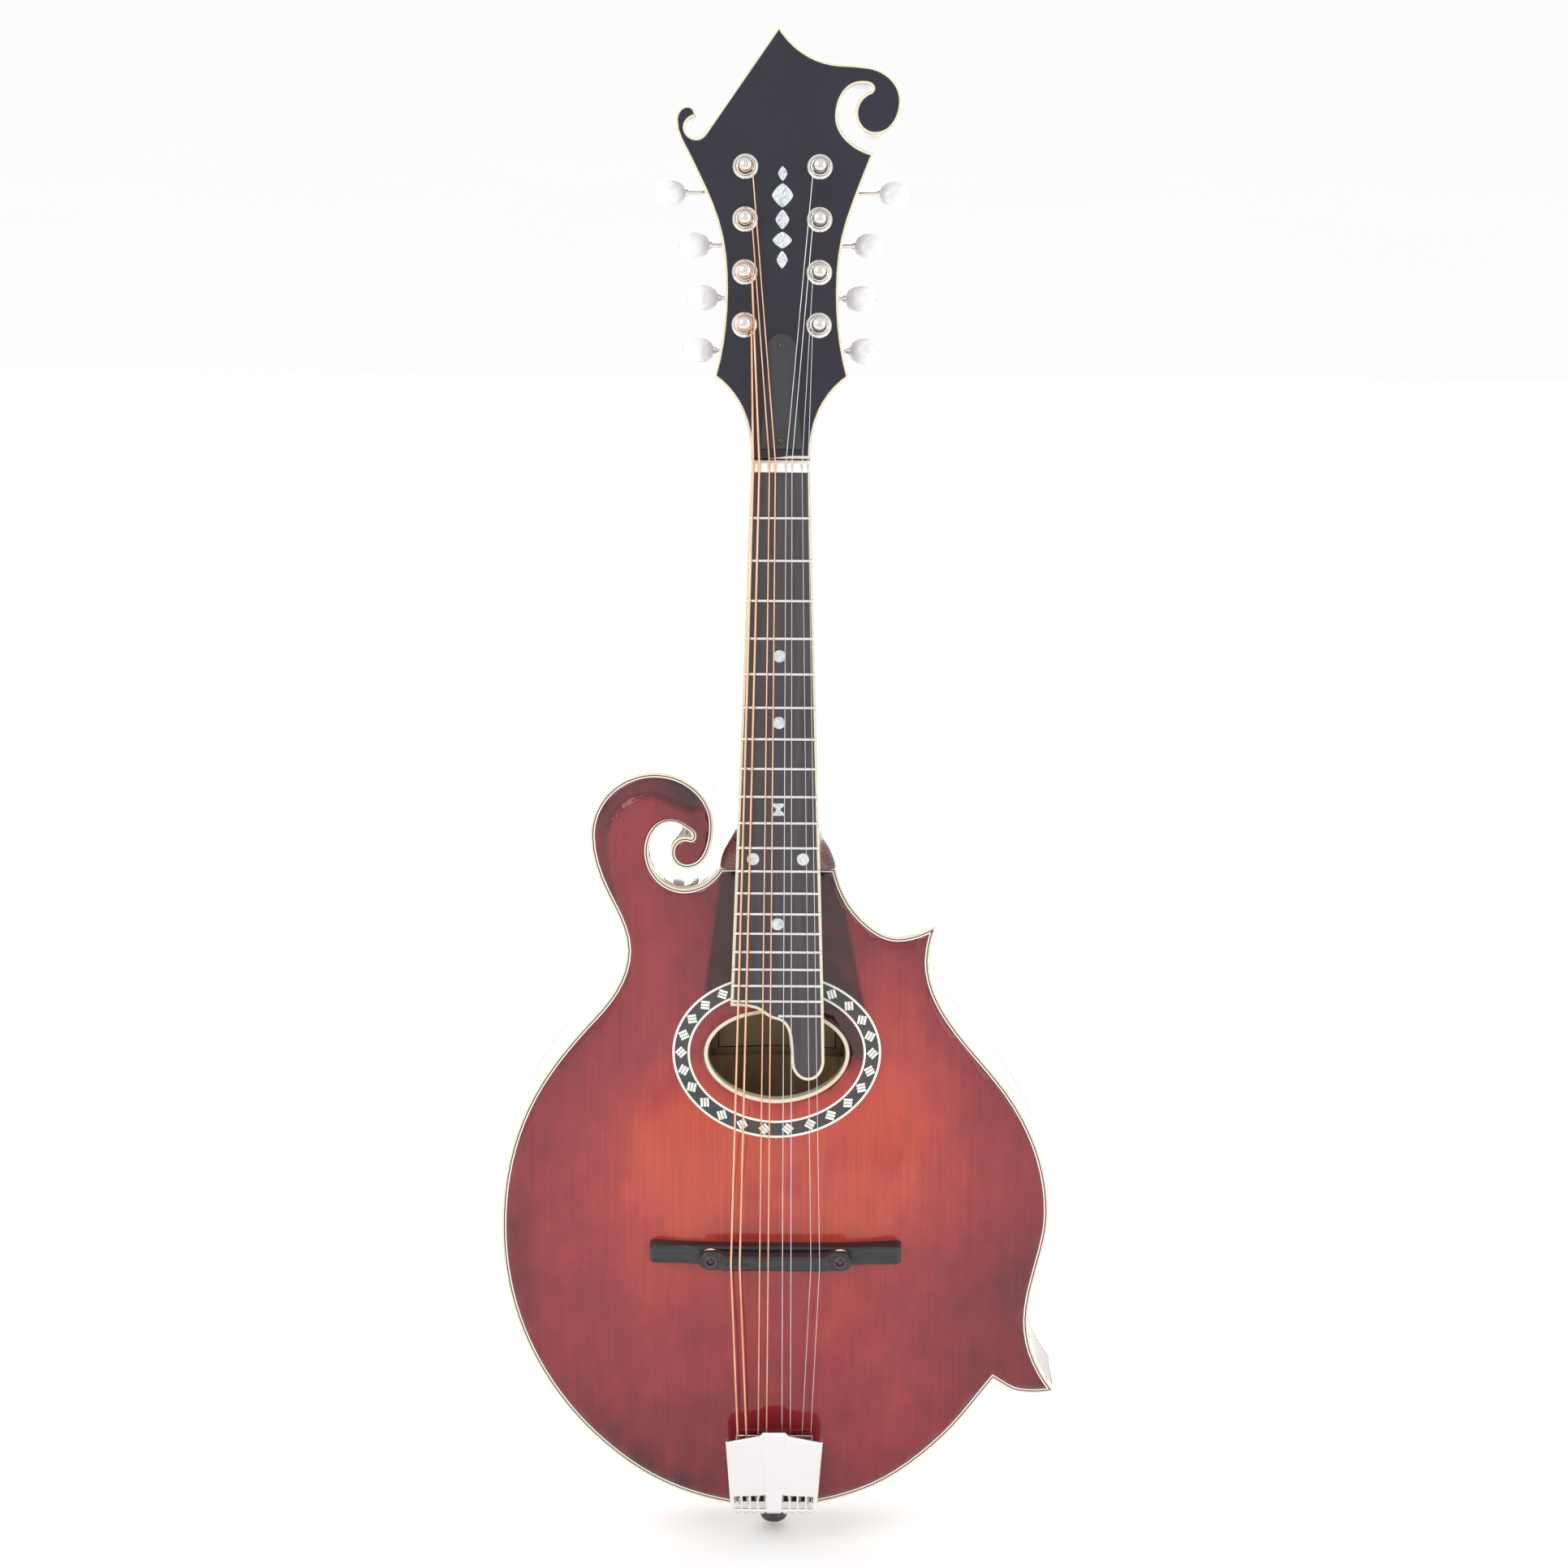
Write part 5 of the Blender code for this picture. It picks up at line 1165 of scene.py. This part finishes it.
def machine_plate(side, tag):
    """Plate behind the headstock with its screws and the lugs that hold the worms."""
    x0 = side * POST_X
    half = TUNER_PLATE_W / 2
    low = POST_FIRST - WORM_OFFSET - PLATE_PAST_WORM
    high = POST_FIRST + 3 * POST_STEP + PLATE_PAST_POST
    rim = []
    for quarter, (way, z) in enumerate(((1, high), (-1, high), (-1, low), (1, low))):
        cz = z - PLATE_ROUND if z == high else z + PLATE_ROUND
        for k in range(7):
            a = (0.5 * quarter + 0.5 * k / 6) * pi
            cx = x0 + way * (half - PLATE_ROUND)
            rim.append(Vector((cx + PLATE_ROUND * cos(a), cz + PLATE_ROUND * sin(a))))
    plate = Shape().plate(rim, PLATE_BACK - 0.2, PLATE_REAR)
    screws = Shape()
    slots = Shape()
    places = [(x0, low + SCREW_IN)]
    places += [(x0 - side * (half - 2.4), POST_FIRST + (k + 0.5) * POST_STEP + 2.0) for k in range(3)]
    for x, u in places + [(x0, high - SCREW_IN)]:
        screw_head(screws, slots, at(x, PLATE_REAR, u) @ Matrix.Rotation(-pi / 2, 4, "X"), 1.5)
    keep(screws.make("plate_screws_" + tag, NICKEL, HEADF), "body", "nickel")
    # black bars in the screw heads: painted shade for the slots' recesses
    keep(slots.make("plate_screw_slot_shade_" + tag, BLACK_LINE, HEADF), "body", "nickel")
    for row in range(4):
        u = POST_FIRST + POST_STEP * row - WORM_OFFSET
        arc = [(WORM_Y + LUG_R * sin(pi * k / 10), u - LUG_R * cos(pi * k / 10)) for k in range(11)]
        line = [(PLATE_REAR - 0.3, u - LUG_FOOT)] + arc + [(PLATE_REAR - 0.3, u + LUG_FOOT)]
        for end in (-1, 1):
            mid = x0 + end * (WORM_L / 2 + LUG_GAP + LUG_T / 2)
            plate.skin([[(x, y, z) for y, z in line] for x in (mid - LUG_T / 2, mid + LUG_T / 2)])
    keep(plate.make("machine_plate_" + tag, NICKEL, HEADF, soft=0.25), "body", "nickel", "tuner_plate_" + tag)


def string_post():
    """Post with a waist for the string, its gear behind the plate and the gear's screw."""
    gear_top = -WORM_Y + GEAR_T / 2
    gear_low = -WORM_Y - GEAR_T / 2
    crown = [(0.02, POST_OUT)] + [(POST_R * 0.98 * sin(a), POST_OUT - 1.5 + 1.5 * cos(a))
                                  for a in (0.25, 0.5, 0.75, 1.0, 1.25, 1.5)]
    post = Shape().lathe(crown + [(POST_R, POST_OUT - 2.0), (POST_WAIST, STRING_UP + 0.9),
                                  (POST_R * 0.84, STRING_UP - 1.4), (POST_R, STRING_UP - 2.2),
                                  (POST_R, gear_top + 0.1)], 32)
    rim = []
    for k in range(TEETH * 4):
        r = GEAR_R if k % 4 in (1, 2) else GEAR_R - TOOTH
        a = tau * k / (TEETH * 4)
        rim.append((r * cos(a), r * sin(a)))
    post.skin([[(p, q, h) for p, q in rim] for h in (gear_top, gear_low)])
    return post.lathe(((0.02, gear_low - 1.2), (1.5, gear_low - 1.1), (1.9, gear_low - 0.6),
                       (1.9, -WORM_Y)), 20)


def string_coil(side, thick):
    """Three turns of string round the post's waist."""
    turns = 3.0
    r = POST_WAIST + thick
    climb = 2.1 * thick * turns
    coil = []
    for k in range(49):
        a = pi / 2 + 0.6 - side * tau * turns * k / 48
        spread = 0.9 if thick > 0.3 else 1.4
        coil.append((r * cos(a), r * sin(a), STRING_UP - 1.2 + climb * (k / 48 - 0.1) * spread))
    return Shape().tube(coil, thick, 8)


def worm_shaft(collar, flip):
    """Shaft through both lugs with the worm between them and a collar at the button."""
    inner = -WORM_L / 2 - LUG_GAP - LUG_T - 0.8
    core = WORM_R * 0.7
    shaft = Shape().lathe(((0.6, inner), (SHAFT_R, inner + 0.3), (SHAFT_R, -WORM_L / 2), (core, -WORM_L / 2),
                           (core, WORM_L / 2), (SHAFT_R, WORM_L / 2), (SHAFT_R, collar - 1.2),
                           (1.7, collar - 1.1), (1.8, collar + 0.4), (0.9, collar + 0.6)), 24, flip)
    r = WORM_R * 0.78
    thread = []
    for k in range(97):
        a = tau * 4.0 * k / 96
        thread.append((r * cos(a), r * sin(a), -WORM_L / 2 + 0.5 + (WORM_L - 1.0) * k / 96))
    return shaft.tube(thread, 0.5, 6, flip)


def button(reach, flip):
    """Egg-shaped button, flatter than it is wide."""
    rings = []
    for k in range(1, 20):
        a = pi * k / 20
        w = sin(a) ** 0.72 * (1.0 - 0.07 * cos(a))
        h = reach - BUTTON_L / 2 * cos(a)
        rings.append([(BUTTON_T / 2 * w * cos(b) * -1.0, BUTTON_W / 2 * w * sin(b), h)
                      for b in [tau * j / 32 for j in range(32)]])
    return Shape().skin(rings, flip @ Matrix.Rotation(pi / 2, 4, "Z"))


for side, tag in ((-1, "bass"), (1, "treble")):
    machine_plate(side, tag)
bushings = Shape()
for side, tag in ((-1, "bass"), (1, "treble")):
    for row in range(4):
        key = "%s_%d" % (tag, row + 1)
        u = POST_FIRST + POST_STEP * row
        thick = [s[1] for s in STRINGS if s[5] == row and (s[2] < 0) == (side < 0)][0]
        spot = at(side * POST_X, 0.0, u) @ FACING
        bushings.lathe(BUSHING, 40, spot, loop=True)
        keep(string_post().make("post_" + key, NICKEL, HEADF @ spot, soft=0.12, segments=1), "post_" + key,
             "nickel", "tuner_post_" + key)
        wire = WOUND if side < 0 else STEEL
        keep(string_coil(side, thick).make("string_coil_" + key, wire, HEADF @ spot), "post_" + key, "nickel")

        place = HEADF @ at(side * POST_X, WORM_Y, u - WORM_OFFSET)
        reach = BUTTON_X[row] - POST_X
        flip = Matrix.Rotation(pi / 2 * side, 4, "Y")
        shaft = worm_shaft(reach - BUTTON_L / 2, flip)
        keep(shaft.make("shaft_" + key, NICKEL, place), "button_" + key, "nickel")
        keep(button(reach, flip).make("knob_" + key, PEARLOID, place, smooth=60.0),
             "button_" + key, "pearloid", "tuner_button_" + key)
        end = Shape()
        end_slot_shade = Shape()
        tip = flip @ at(0.0, 0.0, reach + BUTTON_L / 2 * cos(pi / 20) - 0.1)
        screw_head(end, end_slot_shade, tip, BUTTON_SCREW_R)
        keep(end.make("knob_screw_" + key, NICKEL, place), "button_" + key, "nickel")
        # black bars in the screw head: painted shade for the slot's recess
        keep(end_slot_shade.make("knob_screw_slot_shade_" + key, BLACK_LINE, place), "button_" + key, "nickel")
keep(bushings.make("bushings", NICKEL, HEADF, soft=0.1, segments=1), "body", "nickel")

# ---------------------------------------------------------------- bridge
def bridge_foot():
    """Ebony foot fitted to the arch, low at its ends and high under the saddle."""
    rings = []
    steps = 72
    xs = [-BASE_HALF + 2 * BASE_HALF * k / steps for k in range(steps + 1)]
    unders = [top_ys([Vector((x, BRIDGE_Z + dz)) for x in xs]) for dz in (-BASE_W / 2, 0.0, BASE_W / 2)]
    for k, x in enumerate(xs):
        half_w = BASE_W / 2 * (0.66 + 0.14 * ease((BASE_HALF - abs(x)) / 1.8))
        under = min(row[k] for row in unders) - 0.05
        t = ease((abs(x) - 33.0) / 9.0)
        over = BASE_TOP * (1.0 - t) + min(under - 3.9, BASE_TOP + 1.2 * t) * t
        over += 1.4 * ease((abs(x) - BASE_HALF + 2.0) / 2.0)
        rings.append([(x, under, BRIDGE_Z - half_w), (x, under, BRIDGE_Z + half_w),
                      (x, over + 0.7, BRIDGE_Z + half_w * 0.9), (x, over, BRIDGE_Z + half_w * 0.72),
                      (x, over, BRIDGE_Z - half_w * 0.72), (x, over + 0.7, BRIDGE_Z - half_w * 0.9)])
    return Shape().skin(rings)


keep(bridge_foot().make("bridge_foot", BRIDGE_WOOD, soft=0.25), "body", "ebony", "bridge_base")
studs = Shape()
threads = Shape()
for sign in (-1, 1):
    move = at(sign * WHEEL_X, 0.0, BRIDGE_Z) @ FACING
    studs.lathe(((0.02, STUD_TOP), (STUD_R - 0.35, STUD_TOP), (STUD_R - 0.15, STUD_TOP - 0.3),
                 (STUD_R - 0.15, -BASE_TOP - 1.0)), 20, move)
    coil = []
    rounds = 11
    for k in range(rounds * 14 + 1):
        a = tau * k / 14
        coil.append(((STUD_R - 0.18) * cos(a), (STUD_R - 0.18) * sin(a),
                     -BASE_TOP + (STUD_TOP + BASE_TOP - 0.4) * k / (rounds * 14)))
    threads.tube(coil, 0.22, 5, move)
keep(studs.make("bridge_studs", RUST_BROWN), "body", "nickel")
keep(threads.make("bridge_stud_threads", NICKEL), "body", "nickel")

SADDLE_LOW = WHEEL_Y - WHEEL_T - GAP
SADDLE_TOP = -STRING_Y + 0.05


def saddle_shape():
    """Saddle ends round over the wheels, with a waisted crown between them."""
    shape = Shape()
    rings = []
    steps = 60
    for k in range(steps + 1):
        x = -SADDLE_HALF + 2 * SADDLE_HALF * k / steps
        ax = abs(x)
        wide = SADDLE_W / 2 + 0.9 * ease((ax - 22.0) / 4.0)
        wide *= sqrt(max(0.04, 1.0 - (max(0.0, ax - SADDLE_HALF + 4.0) / 4.2) ** 2))
        crown = ease((SADDLE_CROWN + 1.5 - ax) / 2.5)
        top = -SADDLE_SHOULDER * (1.0 - crown) + (SADDLE_TOP + 1.2) * crown
        low = SADDLE_LOW - 0.6 * ease((20.0 - ax) / 6.0)
        rings.append([(x, low, BRIDGE_Z - wide), (x, low, BRIDGE_Z + wide), (x, top + 1.2, BRIDGE_Z + wide),
                      (x, top, BRIDGE_Z + wide * 0.62), (x, top, BRIDGE_Z - wide * 0.62),
                      (x, top + 1.2, BRIDGE_Z - wide)])
    shape.skin(rings)
    for x0, x1, shift in ((-22.6, -12.4, -1.1), (-12.0, -0.4, 1.0), (0.0, 11.6, -0.5), (12.0, 22.6, 1.2)):
        z = BRIDGE_Z + shift
        shape.skin([[(x, SADDLE_TOP + 2.0, z - 2.3), (x, SADDLE_TOP + 2.0, z + 2.3),
                     (x, SADDLE_TOP + 0.15, z + 0.7), (x, SADDLE_TOP, z), (x, SADDLE_TOP + 0.15, z - 0.7)]
                    for x in (x0, x1)])
    return shape


saddle = saddle_shape().make("saddle_top", BRIDGE_WOOD, soft=0.25)
bores = Shape()
for sign in (-1, 1):
    bores.lathe(((0.0, SADDLE_SHOULDER + 3.0), (STUD_R + 0.25, SADDLE_SHOULDER + 3.0),
                 (STUD_R + 0.25, -SADDLE_LOW - 3.0), (0.0, -SADDLE_LOW - 3.0)), 28,
                at(sign * WHEEL_X, 0.0, BRIDGE_Z) @ FACING)
cut_out(saddle, bores.make("saddle_bores", BLACK_LINE))
keep(saddle, "saddle", "ebony", "bridge_saddle")
# black rings at the mouths of the stud bores: painted shade in the recesses
well_shades = Shape()
for sign in (-1, 1):
    well_shades.lathe(((STUD_R + 0.4, SADDLE_SHOULDER - 1.6), (STUD_R + 1.3, SADDLE_SHOULDER + 0.06),
                 (STUD_R + 0.9, SADDLE_SHOULDER + 0.1), (STUD_R + 0.3, SADDLE_SHOULDER + 0.06)), 28,
                at(sign * WHEEL_X, 0.0, BRIDGE_Z) @ FACING, loop=True)
keep(well_shades.make("saddle_well_shades", BLACK_LINE), "saddle", "ebony")

for sign, tag in ((-1, "bass"), (1, "treble")):
    knurl = []
    for k in range(120):
        r = WHEEL_R - (0.22 if k % 3 == 0 else 0.0)
        a = tau * k / 120
        knurl.append((r * cos(a), r * sin(a)))
    wheel = Shape()
    rings = []
    for scale, y in ((0.9, 0.0), (1.0, -0.3), (1.0, -WHEEL_T + 0.3), (0.9, -WHEEL_T)):
        rings.append([(p * scale, y, q * scale) for p, q in knurl])
    hole = [[((STUD_R + 0.1) * cos(tau * k / 120), y, (STUD_R + 0.1) * sin(tau * k / 120))
             for k in range(120)] for y in (-WHEEL_T, 0.0)]
    wheel.skin(rings + hole, loop=True)
    keep(wheel.make("height_wheel_" + tag, NICKEL, at(sign * WHEEL_X, WHEEL_Y, BRIDGE_Z)), "wheel_" + tag, "nickel",
         "bridge_wheel_" + tag)

# ---------------------------------------------------------------- tailpiece
SLOT_LOW = 19.6
SLOT_HIGH = 27.4
SLOT_W = 2.95
SLOT_STEP = 3.75
SLOT_FIRST = 3.4
PANEL_TOP = 5.1
PANEL_LOW = 3.6


def cover_half(z):
    spread = COVER_TOP_HALF - COVER_LOW_HALF
    return COVER_LOW_HALF + spread * (z - COVER_LOW_Z) / (COVER_TOP_Z - COVER_LOW_Z)


def cover_out(z):
    f = (z - COVER_LOW_Z) / (COVER_TOP_Z - COVER_LOW_Z)
    return COVER_LOW_Y + (COVER_TOP_Y - COVER_LOW_Y) * f ** 0.85


def panel_half(z):
    f = (z - COVER_LOW_Z) / (COVER_TOP_Z - COVER_LOW_Z)
    return PANEL_LOW + (PANEL_TOP - PANEL_LOW) * f


def slot_at(x, z):
    """True inside one of the eight string windows."""
    if not SLOT_LOW < z < SLOT_HIGH:
        return False
    k = (abs(x) - SLOT_FIRST) / SLOT_STEP
    return 0.0 <= k < 4.0 and 0.5 - SLOT_W / SLOT_STEP / 2 < k % 1.0 < 0.5 + SLOT_W / SLOT_STEP / 2


cover = Shape()
rows = [COVER_LOW_Z + (COVER_TOP_Z - COVER_LOW_Z) * k / 30 for k in range(31)]
rows = sorted(set(rows + [SLOT_LOW, SLOT_HIGH]))
columns = [k / 70.0 for k in range(-70, 71)]
verts = []
faces = []
for z in rows:
    half = cover_half(z)
    ph = panel_half(z)
    for c in columns:
        x = c * (half - 0.8)
        up = (z - COVER_LOW_Z) / (COVER_TOP_Z - COVER_LOW_Z)
        lift = -up * (1.6 * ease((abs(x) - ph) / 1.2) + 3.7 * max(0.0, abs(x) - ph) / (half - ph))
        crown = 0.55 * (1.0 - ease((abs(x) - ph + 0.12) / 0.35))
        bow = 0.5 * (abs(x) / half) ** 2
        if z == rows[0]:
            lift += 0.55 * cos(tau * (abs(x) - SLOT_FIRST) / SLOT_STEP) * (abs(x) > SLOT_FIRST)
        verts.append((x, -cover_out(z) - crown + bow, z + lift))
width = len(columns)
for j in range(len(rows) - 1):
    for i in range(width - 1):
        mid_x = (verts[j * width + i][0] + verts[j * width + i + 1][0]) / 2
        mid_z = (rows[j] + rows[j + 1]) / 2
        if not slot_at(mid_x, mid_z):
            faces.append((j * width + i, j * width + i + 1, (j + 1) * width + i + 1, (j + 1) * width + i))
for sign in (-1, 1):
    start = len(verts)
    col = 0 if sign < 0 else width - 1
    for j, z in enumerate(rows):
        wall = 4.0 + 2.0 * (z - COVER_LOW_Z) / (COVER_TOP_Z - COVER_LOW_Z)
        edge_x, edge_y, edge_z = verts[j * width + col]
        for out, back in ((0.42, 0.18), (0.72, 0.6), (0.8, 1.2), (0.8, wall)):
            verts.append((edge_x + sign * out, edge_y + back, edge_z))
    for j in range(len(rows) - 1):
        a = j * width + col
        b = (j + 1) * width + col
        p = start + 4 * j
        q = start + 4 * (j + 1)
        chain_a = (a, p, p + 1, p + 2, p + 3)
        chain_b = (b, q, q + 1, q + 2, q + 3)
        for m in range(4):
            faces.append((chain_a[m], chain_b[m], chain_b[m + 1], chain_a[m + 1]))
cover.add(verts, faces)
lid = cover.make("cover_lid", SATIN, smooth=32.0)
inward = lid.data.polygons[0].normal.y > 0.0
thicken(lid, 0.8, 1.0 if inward else -1.0)
keep(lid, "tail_cover", "nickel", "tailpiece_cover")

plate = Shape()
side_line = ((54.6, -FLANGE_Y - 3.1), (28.0, -FLANGE_Y), (TAIL_FACE + 0.6, FRONT - 2.2),
             (TAIL_FACE - 0.6, FRONT - 1.8), (TAIL_FACE - SHEET, FRONT - 0.6), (TAIL_FACE - SHEET, 13.0),
             (TAIL_FACE, 13.0), (TAIL_FACE, FRONT - 0.4), (TAIL_FACE + 0.9, FRONT - 1.0),
             (28.0, -FLANGE_Y + SHEET), (54.6, -FLANGE_Y - 3.1 + SHEET))
plate.skin([[(x, y, z) for z, y in side_line] for x in (-17.5, 17.5)])
keep(plate.make("tail_plate", NICKEL, soft=0.3), "body", "nickel", "tailpiece_base")
tail_screws = Shape()
tail_slot_shades = Shape()
for x, y in ((-12.0, 6.0), (12.0, 6.0), (-12.0, -12.0), (12.0, -12.0)):
    screw_head(tail_screws, tail_slot_shades, at(x, y, TAIL_FACE - SHEET) @ Matrix.Rotation(pi, 4, "X"), 1.9)
keep(tail_screws.make("tail_screws", NICKEL), "body", "nickel")
# black bars in the screw heads: painted shade for the slots' recesses
keep(tail_slot_shades.make("tail_screw_slot_shade", BLACK_LINE), "body", "nickel")

felt = [[(x, y, z) for x in (-17.2, 17.2)] + [(x, y + 0.5, z) for x in (17.2, -17.2)]
        for z, y in ((20.5, -FLANGE_Y - 0.1), (31.0, -FLANGE_Y - 0.9))]
keep(Shape().skin(felt).make("tail_felt", FELT), "body", "black_pin")

hooks = Shape()
for name, radius, _, _, tail_x, _ in STRINGS:
    y0 = HOOK_Y - 0.1
    arc = [(tail_x, y0 + 1.4, 28.6), (tail_x, y0 + 0.6, 26.2)]
    for k in range(9):
        a = pi * k / 8
        arc.append((tail_x, y0 - 0.9 + 1.15 * cos(a), 22.6 - 1.5 * sin(a)))
    arc.append((tail_x, y0 - 2.0, 24.6))
    hooks.tube(arc, 0.62, 8)
keep(hooks.make("string_hooks", NICKEL), "body", "nickel")

pin = Shape().lathe(((3.2, 31.0), (3.6, 15.0), (3.6, 14.0), (PIN_R, 13.9), (PIN_R, 11.4), (5.4, 9.6), (4.4, 8.0),
                     (4.4, 6.2), (5.3, 4.8), (PIN_R - 0.1, 3.6), (PIN_R, 2.6), (PIN_R - 0.5, 1.3),
                     (PIN_R - 1.6, 0.45), (PIN_R - 2.8, 0.1), (0.02, 0.0)), 48)
keep(pin.make("strap_pin", PIN_BLACK), "body", "black_pin", "end_pin")

# ---------------------------------------------------------------- strings
for name, radius, nut_x, bridge_x, tail_x, row in STRINGS:
    side = -1 if nut_x < 0 else 1
    wire = WOUND if side < 0 else STEEL
    height = STRING_UP - (1.2 if row == 0 else 0.0)
    over = -NUT_TOP - GAP - radius
    post_x = side * (POST_X - POST_R * 0.86 - radius)
    post = HEADF @ (Vector((post_x, -height, POST_FIRST + POST_STEP * row)) * MM)
    nut_back = BOARD @ (Vector((nut_x, over, NUT_L)) * MM)
    nut_front = BOARD @ (Vector((nut_x, over, 0.3)) * MM)
    rest = Vector((bridge_x, -STRING_Y - radius, BRIDGE_Z)) * MM
    hook = Vector((tail_x, HOOK_Y - radius, HOOK_Z)) * MM
    ends = [p / MM for p in (post, nut_back, nut_front, rest, hook)]
    upper = [ends[0], ends[1], ends[2]]
    spans = 24
    upper += [ends[2].lerp(ends[3], k / spans) for k in range(1, spans + 1)]
    lower = [ends[3].lerp(ends[4], k / spans) for k in range(spans + 1)]
    upper[-1] = upper[-1] + (ends[3] - ends[2]).normalized() * 0.2
    for part, points in (("long", upper), ("short", lower)):
        obj = Shape().tube(points, radius, 8).make("wire_%s_%s" % (name, part), wire, smooth=60.0)
        if part == "long":
            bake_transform(obj)
            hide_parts("string_" + name)
        else:
            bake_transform(obj)
    loop = []
    for k in range(25):
        a = tau * k / 24
        wide = 1.0 if k not in (0, 24) else 0.15
        loop.append((tail_x + 0.95 * sin(a) * wide, HOOK_Y - radius - 0.1 - 0.5 * cos(a),
                     24.0 + 2.9 * cos(a)))
    keep(Shape().tube(loop, max(0.16, radius * 0.5), 6).make("string_loop_" + name, STEEL), "body",
         "wound_string" if side < 0 else "plain_string")
    wrap = []
    for k in range(61):
        a = tau * 8 * k / 60
        p = ends[4].lerp(ends[3], 0.002 + 0.11 * k / 60)
        wrap.append(p + Vector((cos(a), sin(a), 0.0)) * (radius + 0.1))
    keep(Shape().tube(wrap, 0.14, 5).make("string_twist_" + name, STEEL), "body",
         "wound_string" if side < 0 else "plain_string")

# ---------------------------------------------------------------- stage, lights and camera
floor_mesh = bpy.data.meshes.new("floor")
REACH = 40.0
floor_mesh.from_pydata([(-REACH, -REACH, -0.002), (REACH, -REACH, -0.002), (REACH, REACH, -0.002),
                        (-REACH, REACH, -0.002)], [], [(0, 1, 2, 3)])
floor = bpy.data.objects.new("floor", floor_mesh)
bpy.context.scene.collection.objects.link(floor)
paint = Look("pale_floor", 0.9)
paint.put("Base Color", paint.ramp(paint.noise(paint.place(even(2.0))), (0.3, even(0.960)),
                                   (0.7, even(0.966))))
paint.put("Specular IOR Level", 0.1)
floor_mesh.materials.append(paint.mat)

world = bpy.data.worlds.new("studio")
bpy.context.scene.world = world
world.use_nodes = True
world.node_tree.nodes["Background"].inputs["Color"].default_value = (1.0, 1.0, 1.0, 1.0)
world.node_tree.nodes["Background"].inputs["Strength"].default_value = 1.0


def softbox(name, place, aim, width, height, power):
    lamp = bpy.data.lights.new(name, "AREA")
    lamp.shape = "RECTANGLE"
    lamp.size = width
    lamp.size_y = height
    lamp.energy = power
    obj = bpy.data.objects.new(name, lamp)
    bpy.context.scene.collection.objects.link(obj)
    obj.location = place
    obj.rotation_euler = (Vector(aim) - Vector(place)).to_track_quat("-Z", "Y").to_euler()


softbox("key_softbox", (-1.6, -2.0, 1.9), (0.0, 0.0, 0.3), 1.6, 1.6, 22.0)
softbox("fill_softbox", (1.9, -1.6, 1.2), (0.0, 0.0, 0.3), 1.4, 1.8, 9.0)
softbox("back_panel", (0.0, 3.0, 1.15), (0.0, 0.0, 1.15), 7.0, 2.3, 150.0)

CAM_TILT = radians(15.3)
CAM_ROLL = radians(0.4)
camera = bpy.data.cameras.new("camera")
camera.lens = 105.77
camera.sensor_width = 36.0
camera.sensor_fit = "HORIZONTAL"
cam = bpy.data.objects.new("camera", camera)
bpy.context.scene.collection.objects.link(cam)
cam.matrix_world = (Matrix.Translation((0.0024, -1.9819, 0.8974)) @ Matrix.Rotation(pi / 2 - CAM_TILT, 4, "X")
                    @ Matrix.Rotation(CAM_ROLL, 4, "Z"))
bpy.context.scene.camera = cam
bpy.context.scene.view_settings.view_transform = "Standard"
